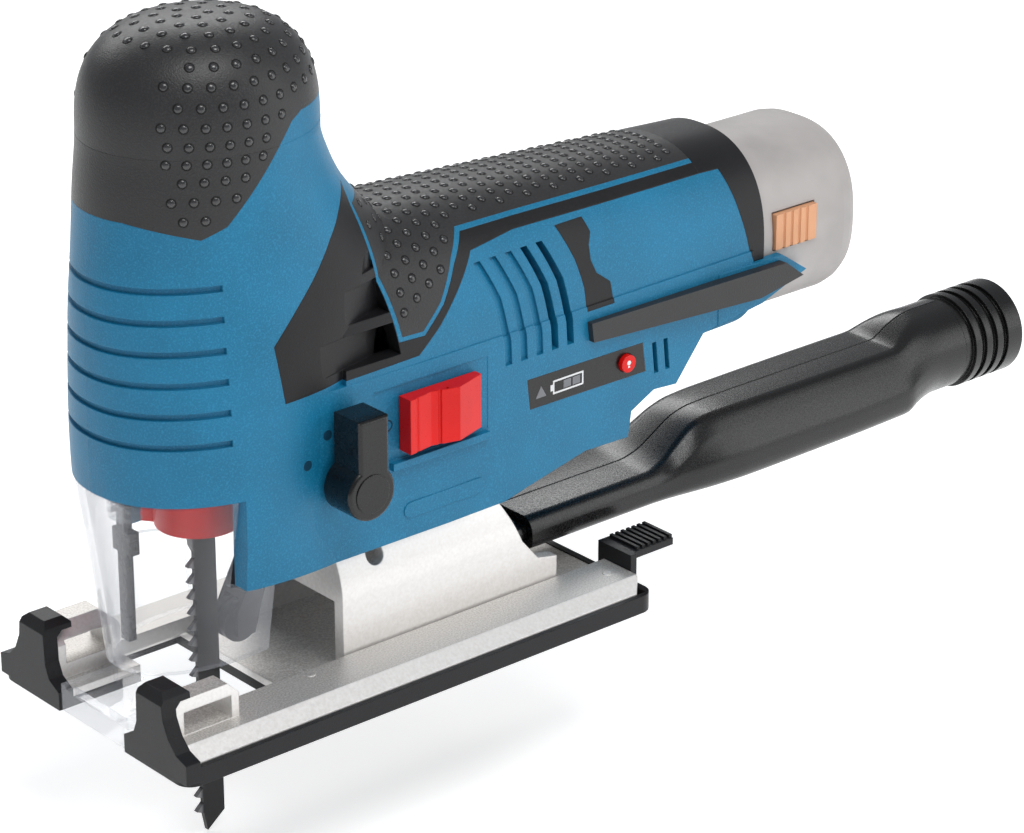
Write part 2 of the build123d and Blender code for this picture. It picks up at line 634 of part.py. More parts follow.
crank_gear = gear(GEAR_TEETH, GEAR_FRONT, GEAR_REAR, CRANK_Z, ARBOR_R + RUN_GAP, False)
weight_side = math.atan2(-PIN_LIFT, -PIN_Y)
weight = rod_x(15.0, GEAR_FRONT - 2.2, GEAR_FRONT, z=CRANK_Z) - rod_x(
    ARBOR_R + 1.5, GEAR_FRONT - 3, GEAR_FRONT + 1, z=CRANK_Z)
weight_keep = Pos(0, 0, CRANK_Z) * Rot(math.degrees(weight_side), 0, 0) * block(-60, 0, 4, 30, -30, 30)
crank_gear = crank_gear + (weight & weight_keep)
crank_gear = crank_gear - rod_x(PIN_R, GEAR_FRONT - 5, GEAR_REAR + 1, PIN_Y, PIN_Z)
crank_pin = rod_x(PIN_R, PIN_FRONT, GEAR_REAR, PIN_Y, PIN_Z)
crank_roller = rod_x(ROLLER_R, PIN_FRONT, GEAR_FRONT - 0.4, PIN_Y, PIN_Z) - rod_x(
    PIN_R, -60, 0, PIN_Y, PIN_Z)
pinion = gear(PINION_TEETH, GEAR_FRONT + 0.5, GEAR_REAR - 0.5, BARREL_Z, SHAFT_R, True)

ARM_LOW_TOP = 68.0
ARM_HIGH_LOW = 121.5
ARM_HIGH_TOP = 129.0
CASE_X0 = -25.0
CASE_X1 = -21.0
CASE_FRONT = -57.0


def gear_case():
    """Cast frame that holds the push rod's two bushes and the crank's arbor."""
    back = end_prism(both_sides([(8.0, ARM_HIGH_TOP), (9.0, 114.0), (17.5, 108.0), (18.0, 70.0),
                                 (9.0, SKIRT_Z + 4.2)])[::-1], CASE_X0, CASE_X1)
    low = block(CASE_FRONT, CASE_X0, -9, 9, SKIRT_Z + 4.2, ARM_LOW_TOP)
    high = block(CASE_FRONT, CASE_X0, -9, 9, ARM_HIGH_LOW, ARM_HIGH_TOP)
    snout = rod_z(8.8, SKIRT_Z + 0.2, SKIRT_Z + 5, BLADE_X)
    case = back + low + high + snout
    case = case - rod_z(BUSH_R, 0, 200, BLADE_X)
    case = case - rod_x(4.0, -40, 0, z=BARREL_Z)
    return case - rod_x(ARBOR_R, CASE_X0 - 1, CASE_X1 + 1, z=CRANK_Z)


BUSH_R = ROD_R + 1.6
lower_bush = rod_z(BUSH_R, SKIRT_Z + 0.2, ARM_LOW_TOP, BLADE_X) - rod_z(
    ROD_R + RUN_GAP, 0, 200, BLADE_X)
upper_bush = rod_z(BUSH_R, ARM_HIGH_LOW, ARM_HIGH_TOP, BLADE_X) - rod_z(
    ROD_R + RUN_GAP, 0, 200, BLADE_X)
crank_arbor = rod_x(ARBOR_R, GEAR_FRONT, CASE_X1, z=CRANK_Z)

yoke = block(YOKE_FRONT, YOKE_REAR, -YOKE_HALF_Y, YOKE_HALF_Y, PIN_Z - YOKE_HALF_Z, PIN_Z + YOKE_HALF_Z)
yoke = yoke + rod_z(ROD_R + 2, PIN_Z - YOKE_HALF_Z, PIN_Z + YOKE_HALF_Z, BLADE_X)
slot_half = CRANK_THROW + ROLLER_R
yoke = yoke - block(YOKE_REAR - 3.4, YOKE_REAR + 1, -slot_half, slot_half,
                    PIN_Z - ROLLER_R - 0.1, PIN_Z + ROLLER_R + 0.1)
push_rod = rod_z(ROD_R, HOLDER_TOP, ROD_TOP, BLADE_X)
yoke = yoke - rod_z(ROD_R, 0, 200, BLADE_X)
shank_slot = block(BLADE_X - BLADE_WIDTH / 2 + 0.6, BLADE_X + BLADE_WIDTH / 2 - 0.6,
                   -BLADE_THICK / 2, BLADE_THICK / 2, HOLDER_LOW - 1, BLADE_TOP)
blade_holder = rod_z(HOLDER_R, HOLDER_LOW, HOLDER_TOP, BLADE_X) - shank_slot
clamp_ring = rod_z(CLAMP_R, HOLDER_LOW + 0.6, HOLDER_TOP - 1.0, BLADE_X)
lever_angle = math.radians(125)
clamp_ring = clamp_ring + Pos(BLADE_X + 8.4 * math.cos(lever_angle), 8.4 * math.sin(lever_angle),
                              HOLDER_LOW + 4.8) * Rot(0, 0, 125) * Box(9.0, 7.0, 8.4)
clamp_ring = clamp_ring - rod_z(HOLDER_R + SEAT_GAP, 0, 100, BLADE_X)
collar_step = rod_z(HOLDER_R + 1.2, HOLDER_TOP - 0.8, HOLDER_TOP, BLADE_X)
blade_holder = blade_holder + collar_step


def saw_blade():
    """Toothed blade with its shank up in the holder."""
    front = BLADE_X - BLADE_WIDTH / 2
    rear = BLADE_X + BLADE_WIDTH / 2
    points = [(rear, 38.0), (rear - 0.6, 41.0), (rear - 0.6, BLADE_TOP), (front + 0.6, BLADE_TOP),
              (front + 0.6, 41.0), (front + 1.0, 38.0)]
    z = 36.0
    while z - TOOTH_PITCH > BLADE_TIP + 3:
        points += [(front + TOOTH_DEPTH, z), (front + TOOTH_DEPTH, z - TOOTH_PITCH * 0.35),
                   (front, z - TOOTH_PITCH * 0.8)]
        z -= TOOTH_PITCH
    points += [(front + TOOTH_DEPTH, z), (front + 3.0, BLADE_TIP), (rear, BLADE_TIP + 4)]
    return side_prism(points, -BLADE_THICK / 2, BLADE_THICK / 2)


# ---- blade support and guard --------------------------------------------------------
ARM_PIN_R = 1.5
guide_roller = rod_y(GUIDE_R, -2.4, 2.4, GUIDE_X, GUIDE_Z) - rod_y(
    ARM_PIN_R + RUN_GAP, -5, 5, GUIDE_X, GUIDE_Z)
guide_roller = guide_roller - (rod_y(GUIDE_R + 1, -0.8, 0.8, GUIDE_X, GUIDE_Z) - rod_y(
    GUIDE_R - 0.8, -2, 2, GUIDE_X, GUIDE_Z))


def roller_arm():
    """Forked arm that hangs behind the blade and carries the guide roller."""
    outline = [(ARM_PIVOT_X - 3, ARM_PIVOT_Z + 3), (ARM_PIVOT_X + 1.6, ARM_PIVOT_Z + 3),
               (ARM_PIVOT_X + 1.6, 30.0), (GUIDE_X + 4.6, GUIDE_Z + 4), (GUIDE_X + 2.6, GUIDE_Z - 3.0),
               (GUIDE_X - 2.4, GUIDE_Z - 2.6), (GUIDE_X - 2.4, GUIDE_Z + 3), (ARM_PIVOT_X - 3.4, 29.0)]
    arm = side_prism(outline, -4.2, 4.2)
    arm = arm - block(-60, 0, -2.7, 2.7, 0, GUIDE_Z + GUIDE_R + 1.2)
    arm = arm + rod_y(ARM_PIN_R, -4.2, 4.2, GUIDE_X, GUIDE_Z)
    return arm - rod_y(ARM_PIN_R + RUN_GAP, -10, 10, ARM_PIVOT_X, ARM_PIVOT_Z)


arm_bracket = side_prism([(ARM_PIVOT_X - 4, ARM_PIVOT_Z + 4.5), (BLADE_BAY_REAR, ARM_PIVOT_Z + 4.5),
                          (BLADE_BAY_REAR, ARM_PIVOT_Z - 4), (ARM_PIVOT_X - 4, ARM_PIVOT_Z - 3)], -6.4, 6.4)
arm_bracket = arm_bracket - block(-60, 0, -4.6, 4.6, 0, ARM_PIVOT_Z + 4.6)
arm_bracket = arm_bracket + block(ARM_PIVOT_X - 4, BLADE_BAY_REAR, -6.4, 6.4,
                                  ARM_PIVOT_Z + 3.6, ARM_PIVOT_Z + 5.0)
arm_bracket = arm_bracket + rod_y(ARM_PIN_R, -6.4, 6.4, ARM_PIVOT_X, ARM_PIVOT_Z)

GUARD_TOP = SKIRT_Z - FACE_GAP
GUARD_LOW = 14.0
GUARD_WALL = 1.8
GUARD_SIDE = [(-90.0, GUARD_LOW - 1), (-40.5, GUARD_LOW - 1), (-40.5, 33.0), (SKIRT_X - 0.4, 35.5),
              (SKIRT_X - 0.4, GUARD_TOP + 1), (-90.0, GUARD_TOP + 1)]


def guard_form(inset):
    top = oval_z(-76.4 + inset, -23.0, 24.4 - inset, 2.2, GUARD_TOP)
    low = oval_z(-72.4 + inset, -23.0, 15.8 - inset, 2.2, GUARD_LOW)
    return Solid.make_loft([low, top])


blade_guard = (guard_form(0) - guard_form(GUARD_WALL)) & side_prism(GUARD_SIDE, -40, 40)
finger_bar = block(-69.6, -67.6, -1.6, 1.6, 20.0, SKIRT_Z + 4.2)
finger_bar = finger_bar + block(-69.6, -67.0, -3.4, 3.4, 42.0, 47.5)


# ---- orbit selector and power switch ------------------------------------------------
SELECTOR_FACE = -38.0
SELECTOR_BACK = -28.6
selector = rod_y(6.6, SELECTOR_FACE, SELECTOR_BACK, SELECTOR_X, SELECTOR_Z)
selector = selector + block(SELECTOR_X - 3.4, SELECTOR_X + 5.0, SELECTOR_FACE, SELECTOR_BACK,
                            SELECTOR_Z, SELECTOR_Z + 18.0)
selector = fillet(selector.edges().filter_by_position(Axis.Y, SELECTOR_FACE - 0.1, SELECTOR_FACE + 0.1),
                  0.9)
selector = selector + rod_y(4.0, SELECTOR_BACK - 1, -21.5, SELECTOR_X, SELECTOR_Z)
orbit_selector = selector

SWITCH_SIDE = SWITCH_FLOOR - 0.3
switch_cap = plan_prism([(SWITCH_X0, SWITCH_SIDE), (SWITCH_X0, SWITCH_SIDE - 4.2),
                         (SWITCH_X0 + 7, SWITCH_SIDE - 3.0), (SWITCH_X0 + 14, SWITCH_SIDE - 5.0),
                         (SWITCH_X1, SWITCH_SIDE - 2.2), (SWITCH_X1, SWITCH_SIDE)],
                        SWITCH_Z0, SWITCH_Z1)
for i in range(5):
    switch_cap = switch_cap - rod_z(0.45, SWITCH_Z0 - 1, SWITCH_Z1 + 1,
                                    SWITCH_X0 + 2.5 + i * 2.2, SWITCH_SIDE - 4.0 + 0.12 * i)
stem = SWITCH_STEM
slide_switch = switch_cap + block(stem[0], stem[1], SWITCH_SIDE - 1, -21.6, stem[2], stem[3])
switch_module = block(-9.0, 13.0, -21.2, -11.5, 52.0, 64.4)
light_button = rod_y(LAMP_BUTTON_R, -26.4, -19.2, *LAMP_BUTTON)
light_button = light_button + rod_y(LAMP_BUTTON_R + 0.9, -20.2, -19.2, *LAMP_BUTTON)


# ---- motor --------------------------------------------------------------------------
motor_can = rod_x(MOTOR_R, MOTOR_FRONT, MOTOR_REAR, z=BARREL_Z) - rod_x(
    MOTOR_R - CAN_WALL, MOTOR_FRONT + 2, MOTOR_REAR + 1, z=BARREL_Z)
motor_can = motor_can - rod_x(BEARING_R, 0, 20, z=BARREL_Z)
for side in (-1, 1):
    motor_can = motor_can - block(MOTOR_FRONT + 8, MOTOR_FRONT + 22, side * 14 - 6, side * 14 + 6,
                                  BARREL_Z - 3, BARREL_Z + 3)
MAGNET_OUT = MOTOR_R - CAN_WALL
MAGNET_IN = 14.2
ARMATURE_R = 13.6
motor_magnets = []
for side in (-1, 1):
    arc = rod_x(MAGNET_OUT, 16, 48, z=BARREL_Z) - rod_x(MAGNET_IN, 10, 60, z=BARREL_Z)
    y0, y1 = sorted((side * 5.5, side * 30))
    motor_magnets.append(arc & block(0, 60, -30, 30, BARREL_Z + y0, BARREL_Z + y1))
rotor_shaft = rod_x(SHAFT_R, GEAR_FRONT + 0.5, 64.5, z=BARREL_Z)
armature = rod_x(ARMATURE_R, 17.0, 46.0, z=BARREL_Z)
for i in range(10):
    angle = 2 * math.pi * i / 10
    armature = armature - rod_x(1.5, 16, 47, 11.6 * math.cos(angle), BARREL_Z + 11.6 * math.sin(angle))
armature = armature - rod_x(SHAFT_R, 0, 60, z=BARREL_Z)
COMMUTATOR_R = 6.0
commutator = rod_x(COMMUTATOR_R, 48.5, 56.0, z=BARREL_Z) - rod_x(SHAFT_R, 0, 60, z=BARREL_Z)
fan_hub = rod_x(6.0, FAN_FRONT, FAN_REAR, z=BARREL_Z)
cooling_fan = fan_hub + rod_x(FAN_R, FAN_FRONT, FAN_FRONT + 1.2, z=BARREL_Z)
for i in range(12):
    vane = block(FAN_FRONT + 1, FAN_REAR, -0.6, 0.6, 5, FAN_R - 0.4)
    cooling_fan = cooling_fan + Pos(0, 0, BARREL_Z) * Rot(30 * i, 0, 0) * vane
cooling_fan = cooling_fan - rod_x(SHAFT_R, -60, 60, z=BARREL_Z)


def bearing(x0):
    ring = rod_x(BEARING_R, x0, x0 + BEARING_W, z=BARREL_Z)
    return ring - rod_x(SHAFT_R + RUN_GAP, x0 - 1, x0 + BEARING_W + 1, z=BARREL_Z)


front_bearing = bearing(MOTOR_FRONT - 3)
rear_bearing = bearing(58.5)
motor_end_cap = rod_x(MOTOR_R - CAN_WALL, 57.5, MOTOR_REAR, z=BARREL_Z) + rod_x(
    10.5, MOTOR_REAR - 1, MOTOR_REAR + 2.4, z=BARREL_Z)
motor_end_cap = motor_end_cap - rod_x(BEARING_R, 50, 63.5, z=BARREL_Z) - rod_x(3.5, 50, 70, z=BARREL_Z)
carbon_brushes = []
for side in (-1, 1):
    y0, y1 = sorted((side * (COMMUTATOR_R + 0.1), side * 14.0))
    brush = block(50.0, 55.0, y0, y1, BARREL_Z - 2, BARREL_Z + 2)
    carbon_brushes.append(brush - rod_x(COMMUTATOR_R + 0.1, 40, 60, z=BARREL_Z))
    holder = block(55.0, 57.6, y0, y1, BARREL_Z - 2.6, BARREL_Z + 2.6)
    motor_end_cap = motor_end_cap + (holder - rod_x(COMMUTATOR_R + 0.6, 40, 60, z=BARREL_Z))

# ---- electrics ----------------------------------------------------------------------
circuit_board = block(30.0, 56.5, -18.8, -17.2, 48.5, 60.0)
circuit_board = circuit_board + [block(33, 40, -17.3, -13.0, 49.5, 56.0),
                                 rod_y(3.0, -17.3, -9.0, 46.0, 53.0),
                                 block(51, 55.5, -17.3, -14.4, 50.0, 57.0)]
terminal_block = rod_x(16.0, 64.9, 71.0, z=BARREL_Z)
terminal_block = terminal_block - block(60, 66.4, -4, 4, BARREL_Z - 12, BARREL_Z + 12)
contact_blades = []
for y in (-9.0, 0.0, 9.0):
    contact_blades.append(block(71.0, 79.5, y - 0.5, y + 0.5, BARREL_Z - 12.5, BARREL_Z - 6.5))


# ---- battery ------------------------------------------------------------------------
def pack_section(x, scale):
    half_y = PACK_HALF_Y * scale
    half_z = PACK_HALF_Z * scale
    return oval_x(half_y, PACK_Z - half_z, PACK_Z + half_z, 2.4, x)


pack_front = BARREL_END + FACE_GAP
battery_case = Solid.make_loft([pack_section(pack_front, 1.0), pack_section(PACK_END - 6, 1.0),
                                pack_section(PACK_END - 3.4, 0.98), pack_section(PACK_END - 1.4, 0.94),
                                pack_section(PACK_END, 0.86)], ruled=True)
battery_case = battery_case + rod_x(STEM_R, STEM_FRONT, pack_front + 1, z=BARREL_Z)
battery_case = battery_case - rod_x(STEM_R - STEM_WALL, STEM_FRONT + 2, PACK_END - 3, z=BARREL_Z)
for y in (-9.0, 0.0, 9.0):
    battery_case = battery_case - block(STEM_FRONT - 1, STEM_FRONT + 3, y - 1.0, y + 1.0,
                                        BARREL_Z - 13.2, BARREL_Z - 5.8)
cell_ring = (CELL_R + 0.1) * 2 / math.sqrt(3)
battery_cells = []
for i in range(3):
    angle = math.radians(90 + 120 * i)
    battery_cells.append(rod_x(CELL_R, 80.2, 80.2 + CELL_LENGTH, cell_ring * math.cos(angle),
                               BARREL_Z + cell_ring * math.sin(angle)))
LATCH_X0 = 113.0
LATCH_X1 = 127.0
LATCH_HALF_Z = 4.6
LATCH_Z = BARREL_Z + 2.0
latches = {}
for name, side in (("latch_left", -1), ("latch_right", 1)):
    y0, y1 = sorted((side * 20.9, side * 22.7))
    latch = block(LATCH_X0, LATCH_X1, y0, y1, LATCH_Z - LATCH_HALF_Z, LATCH_Z + LATCH_HALF_Z)
    for i in range(4):
        x = LATCH_X0 + 2.8 + i * 2.6
        latch = latch - rod_z(0.5, 0, 200, x, side * 22.7)
    latches[name] = latch
    y0, y1 = sorted((side * 19.8, side * 40))
    battery_case = battery_case - block(LATCH_X0 - FACE_GAP, LATCH_X1 + FACE_GAP, y0, y1,
                                        LATCH_Z - LATCH_HALF_Z - FACE_GAP,
                                        LATCH_Z + LATCH_HALF_Z + FACE_GAP)


# ---- dust tube ----------------------------------------------------------------------
# along the tube: place, top, half width of its flat top, half width, bottom, share of roundness
TUBE_STATIONS = [
    (TUBE_FRONT, TUBE_TOP, 10.6, TUBE_HALF, TUBE_LOW, 0.0),
    (82.0, TUBE_TOP, 10.6, TUBE_HALF, TUBE_LOW, 0.0), (88.0, 22.2, 9.6, 13.3, TUBE_LOW, 0.0),
    (94.0, 25.4, 8.4, 14.0, TUBE_LOW, 0.0), (100.0, 28.6, 7.8, 14.8, TUBE_LOW, 0.0),
    (106.0, 29.8, 8.0, 15.4, TUBE_LOW, 0.0), (114.0, RAISED_TOP, 8.4, 15.8, TUBE_LOW, 0.0),
    (150.0, RAISED_TOP, 8.8, 15.9, 11.8, 0.0), (172.0, RAISED_TOP, 8.8, 15.4, 12.0, 0.0),
    (178.0, 31.6, 8.0, 14.8, 12.0, 0.35), (184.0, 33.6, 7.0, 14.0, 12.0, 0.75),
    (190.0, 34.9, 6.0, 13.0, 12.0, 1.0), (CUFF_START, 34.9, 6.0, 13.0, 12.0, 1.0)]


def tube_section(station, inset, shift):
    """Half of the tube's section as (y, z) points from top to bottom, made into a closed wire."""
    x, top, flat, wide, bottom, roundness = station
    lift = (top - TUBE_TOP) / (RAISED_TOP - TUBE_TOP)
    lift = max(0.0, min(1.0, lift))
    edge = flat + 1.6
    boxed = [(0.0, top), (flat, top), (edge, top - 1.4),
             (wide + (edge - wide) / 2 * lift, top - 3.2 - 1.8 * lift), (wide, 16.4 + 3.6 * lift),
             (wide, 14.0 + 1.5 * lift), (wide - 1.0, bottom + 1.4), (wide - 3.4, bottom), (0.0, bottom)]
    half = []
    for i, (y, z) in enumerate(boxed):
        angle = math.pi / 2 - math.pi * i / (len(boxed) - 1)
        y += (CUFF_R * math.cos(angle) - y) * roundness
        z += (CUFF_Z + CUFF_R * math.sin(angle) - z) * roundness
        middle = (TUBE_LOW + top) / 2
        half.append((y * (1 - inset / wide), middle + (z - middle) * (1 - 2 * inset / (top - bottom))))
    ring = half + [(-y, z) for y, z in reversed(half[1:-1])]
    points = [Vector(x + shift, y, z) for y, z in ring]
    return Wire.make_polygon(points, close=True)


def tube_solid(inset):
    """The tube's outer form, drawn in by inset, with the plug that enters the arch."""
    shifts = [0.0] * len(TUBE_STATIONS)
    if inset:
        shifts[-1] = 0.5
    wires = [tube_section(s, inset, shift) for s, shift in zip(TUBE_STATIONS, shifts)]
    plug = block(PLUG_FRONT - inset, TUBE_FRONT + 4, inset + 2 - TUBE_HALF, TUBE_HALF - 2 - inset,
                 TUBE_LOW + inset, TUBE_TOP - 0.8 - inset)
    return Solid.make_loft(wires, ruled=True) + plug


dust_tube = tube_solid(0.0) - tube_solid(TUBE_WALL)
tube_left = half_of(dust_tube, -1)
tube_right = half_of(dust_tube, 1)
hose_cuff = rod_x(CUFF_R - 0.6, CUFF_START, CUFF_END, z=CUFF_Z)
for i in range(4):
    x = CUFF_START + 3.0 + i * 4.2
    hose_cuff = hose_cuff + rod_x(CUFF_R + 0.5, x, x + 2.2, z=CUFF_Z)
hose_cuff = hose_cuff + rod_x(CUFF_R + 0.5, CUFF_END - 3.6, CUFF_END, z=CUFF_Z)
hose_cuff = hose_cuff - rod_x(CUFF_BORE, CUFF_START - 1, CUFF_END + 1, z=CUFF_Z)


def bumper_rails():
    """Pointed rub rails that stand proud of both sides."""
    outline = [(48.2, 75.2), (48.9, 70.2), (104.0, 67.4), (118.5, 70.0), (112.5, 74.6)]
    rails = []
    for side in (-1, 1):
        y0, y1 = sorted((side * 24.2, side * 27.2))
        rails.append(side_prism(outline, y0, y1) - [outer] - battery_arms())
    return rails


# ---- write every sub-part -----------------------------------------------------------
os.makedirs("parts", exist_ok=True)
save("housing_left", housing_left)
save("housing_right", housing_right)
save("head_grip", head_grip)
save("barrel_grip", barrel_grip)
save("rear_collar", rear_collar)
save("side_trim_left", half_of(side_trim, -1))
save("side_trim_right", half_of(side_trim, 1))
save("vent_trims", Compound(children=[half_of(vent_trim, -1), half_of(vent_trim, 1)]))
save("bumper_rails", Compound(children=bumper_rails()))
save("control_panel", control_panel)
save("light_button", light_button)
save("slide_switch", slide_switch)
save("switch_module", switch_module)
save("orbit_selector", orbit_selector)
save("housing_screws", Compound(children=housing_screws))
save("base_plate", base_plate())
save("glide_shoe", glide_shoe())
save("splinter_guard", splinter_guard())
save("bevel_bolt", bevel_bolt)
save("saddle_washer", saddle_washer)
save("bevel_nut", bevel_nut)
save("crank_gear", crank_gear)
save("crank_pin", crank_pin)
save("crank_roller", crank_roller)
save("crank_arbor", crank_arbor)
save("pinion", pinion)
save("gear_case", gear_case())
save("lower_bush", lower_bush)
save("upper_bush", upper_bush)
save("push_rod", push_rod)
save("yoke", yoke)
save("blade_holder", blade_holder)
save("clamp_ring", clamp_ring)
save("saw_blade", saw_blade())
save("guide_roller", guide_roller)
save("roller_arm", roller_arm())
save("arm_bracket", arm_bracket)
save("blade_guard", blade_guard)
save("finger_bar", finger_bar)
save("work_lamp", work_lamp)
save("motor_can", motor_can)
save("motor_magnets", Compound(children=motor_magnets))
save("rotor_shaft", rotor_shaft)
save("armature", armature)
save("commutator", commutator)
save("cooling_fan", cooling_fan)
save("front_bearing", front_bearing)
save("rear_bearing", rear_bearing)
save("motor_end_cap", motor_end_cap)
save("carbon_brushes", Compound(children=carbon_brushes))
save("circuit_board", circuit_board)
save("terminal_block", terminal_block)
save("contact_blades", Compound(children=contact_blades))
save("battery_case", battery_case)
save("battery_cells", Compound(children=battery_cells))
save("latch_left", latches["latch_left"])
save("latch_right", latches["latch_right"])
save("tube_left", tube_left)
save("tube_right", tube_right)
save("hose_cuff", hose_cuff)
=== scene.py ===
# %% [markdown]
# # A cordless barrel-grip jigsaw
#
# The CAD model already holds every part, its size and its joints. This lesson gives the parts their
# finishes and adds the small moulded detail that a CAD solid leaves out: the domes on the rubber
# grips, the inlays on the control panel, the marks in the blue shell and the rivets on the plate.
# Nothing here moves or resizes a CAD part. All lengths are in metres, in the frame of the CAD model:
# +X runs back along the barrel, -Y is the side with the switch and +Z is up.

# %% Load the CAD frame
import math

import bmesh
import bpy
from mathutils import Matrix, Vector
from mathutils.bvhtree import BVHTree


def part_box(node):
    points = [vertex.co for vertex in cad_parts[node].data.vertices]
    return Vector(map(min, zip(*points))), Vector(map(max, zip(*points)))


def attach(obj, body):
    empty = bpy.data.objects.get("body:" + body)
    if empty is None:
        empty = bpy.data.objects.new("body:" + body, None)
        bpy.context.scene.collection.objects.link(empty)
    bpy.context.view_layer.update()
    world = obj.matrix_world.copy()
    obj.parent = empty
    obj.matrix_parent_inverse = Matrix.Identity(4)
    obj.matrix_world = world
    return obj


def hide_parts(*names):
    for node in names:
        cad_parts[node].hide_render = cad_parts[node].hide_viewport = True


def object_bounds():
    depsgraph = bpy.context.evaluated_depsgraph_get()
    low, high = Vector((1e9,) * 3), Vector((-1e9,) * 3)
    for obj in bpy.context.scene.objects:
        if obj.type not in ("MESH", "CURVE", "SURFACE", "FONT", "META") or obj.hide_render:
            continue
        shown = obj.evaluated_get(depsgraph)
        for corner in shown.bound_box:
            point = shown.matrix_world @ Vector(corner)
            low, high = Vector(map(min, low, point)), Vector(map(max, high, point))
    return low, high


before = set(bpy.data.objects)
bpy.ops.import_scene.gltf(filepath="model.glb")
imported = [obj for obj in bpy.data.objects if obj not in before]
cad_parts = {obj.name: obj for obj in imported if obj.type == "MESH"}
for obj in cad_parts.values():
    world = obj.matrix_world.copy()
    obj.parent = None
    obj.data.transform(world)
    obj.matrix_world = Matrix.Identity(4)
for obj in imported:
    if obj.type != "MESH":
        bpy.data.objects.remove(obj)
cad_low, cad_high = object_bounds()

MM = 0.001

# %% [markdown]
# ## Camera
#
# A long lens from a little under a metre away keeps the tool's long edges nearly parallel, as on a
# catalogue picture. The camera is placed by what it looks at, from which side and from how far, so
# each of the three can be changed alone. Its rotation is built from the direction it looks along.

# %% Camera
AIM = Vector((0.0510, 0.0052, 0.0400))
DISTANCE = 0.92
AZIMUTH = math.radians(-40.569)
ELEVATION = math.radians(23.308)
LENS = 131.23

back = Vector((math.sin(AZIMUTH) * math.cos(ELEVATION),
               -math.cos(AZIMUTH) * math.cos(ELEVATION),
               math.sin(ELEVATION)))
camera_data = bpy.data.cameras.new("camera")
camera_data.lens = LENS
camera_data.clip_start = 0.01
camera = bpy.data.objects.new("camera", camera_data)
bpy.context.scene.collection.objects.link(camera)
camera.location = AIM + back * DISTANCE
camera.rotation_euler = back.to_track_quat("Z", "Y").to_euler()
bpy.context.scene.camera = camera
print("camera at", [round(v, 3) for v in camera.location])

# %% [markdown]
# ## Floor and light
#
# Product pictures are lit by large white surfaces, so that plastic shows broad soft highlights
# instead of small hot spots. Here an even sky fills the shadows. A large soft box high on the side
# with the switch models the form, a second one lower down opens up that side, and a narrow one
# behind draws a line of light along the top edges. The floor is plain and nearly white. It glows a
# little, as a sheet of paper lit from below does, so it stays pale when the sky is turned down.

# %% Floor and light
SKY = (0.94, 0.97, 1.0, 1.0)
SKY_STRENGTH = 0.36
FLOOR_GLOW = 0.50
world = bpy.data.worlds.new("studio")
world.use_nodes = True
world.node_tree.nodes["Background"].inputs["Color"].default_value = SKY
world.node_tree.nodes["Background"].inputs["Strength"].default_value = SKY_STRENGTH
bpy.context.scene.world = world
bpy.context.scene.view_settings.view_transform = "Standard"


def soft_box(name, place, width, height, power):
    """A rectangular area light at place, turned to face the middle of the tool."""
    data = bpy.data.lights.new(name, "AREA")
    data.shape = "RECTANGLE"
    data.size = width
    data.size_y = height
    data.energy = power
    lamp = bpy.data.objects.new(name, data)
    bpy.context.scene.collection.objects.link(lamp)
    lamp.location = place
    lamp.rotation_euler = (Vector(place) - AIM).to_track_quat("Z", "Y").to_euler()


soft_box("key_box", (-0.10, -0.55, 1.15), 0.7, 0.5, 8.0)
soft_box("side_box", (0.85, -0.85, 0.45), 0.5, 0.9, 3.2)
soft_box("rim_box", (0.35, 1.00, 0.75), 1.2, 0.35, 7.0)

FLOOR_SIZE = 8.0
FLOOR_DROP = 0.5 * MM
floor_mesh = bpy.data.meshes.new("floor")
half = FLOOR_SIZE / 2
floor_z = cad_low.z - FLOOR_DROP
floor_mesh.from_pydata([(-half, -half, floor_z), (half, -half, floor_z),
                        (half, half, floor_z), (-half, half, floor_z)], [], [(0, 1, 2, 3)])
floor = bpy.data.objects.new("floor", floor_mesh)
bpy.context.scene.collection.objects.link(floor)
paper = bpy.data.materials.new("floor_paper")
paper.use_nodes = True
paper_shader = paper.node_tree.nodes["Principled BSDF"]
paper_shader.inputs["Base Color"].default_value = (0.90, 0.90, 0.90, 1.0)
paper_shader.inputs["Roughness"].default_value = 0.9
paper_shader.inputs["Specular IOR Level"].default_value = 0.1
paper_shader.inputs["Emission Color"].default_value = (1.0, 1.0, 1.0, 1.0)
paper_shader.inputs["Emission Strength"].default_value = FLOOR_GLOW
floor_mesh.materials.append(paper)
print("floor at", round(floor_z, 4))

# %% [markdown]
# ## Helpers for finishes
#
# A finish is a small node tree that ends in one Principled shader. All patterns are read from Object
# coordinates, which are metres in the frame, so a grain of a quarter of a millimetre is simply a
# noise whose scale is four thousand. Values that are the same all over go straight on the shader.


# %% Helpers for finishes
GRAIN_LOW, GRAIN_HIGH = 0.3, 0.7     # the range in which nearly all values of a noise lie


def linear(red, green, blue):
    """A colour given on the 0-255 display scale, as the linear values that shaders use."""
    out = []
    for value in (red, green, blue):
        c = value / 255
        out.append(c / 12.92 if c <= 0.04045 else ((c + 0.055) / 1.055) ** 2.4)
    return tuple(out)


def new_finish(name, colour, roughness, metallic=0.0, coat=0.0):
    """A material with its Principled shader set. Returns the material, its tree and the shader."""
    material = bpy.data.materials.new(name)
    material.use_nodes = True
    tree = material.node_tree
    shader = tree.nodes["Principled BSDF"]
    shader.inputs["Base Color"].default_value = (*colour, 1.0)
    shader.inputs["Roughness"].default_value = roughness
    shader.inputs["Metallic"].default_value = metallic
    shader.inputs["Coat Weight"].default_value = coat
    return material, tree, shader


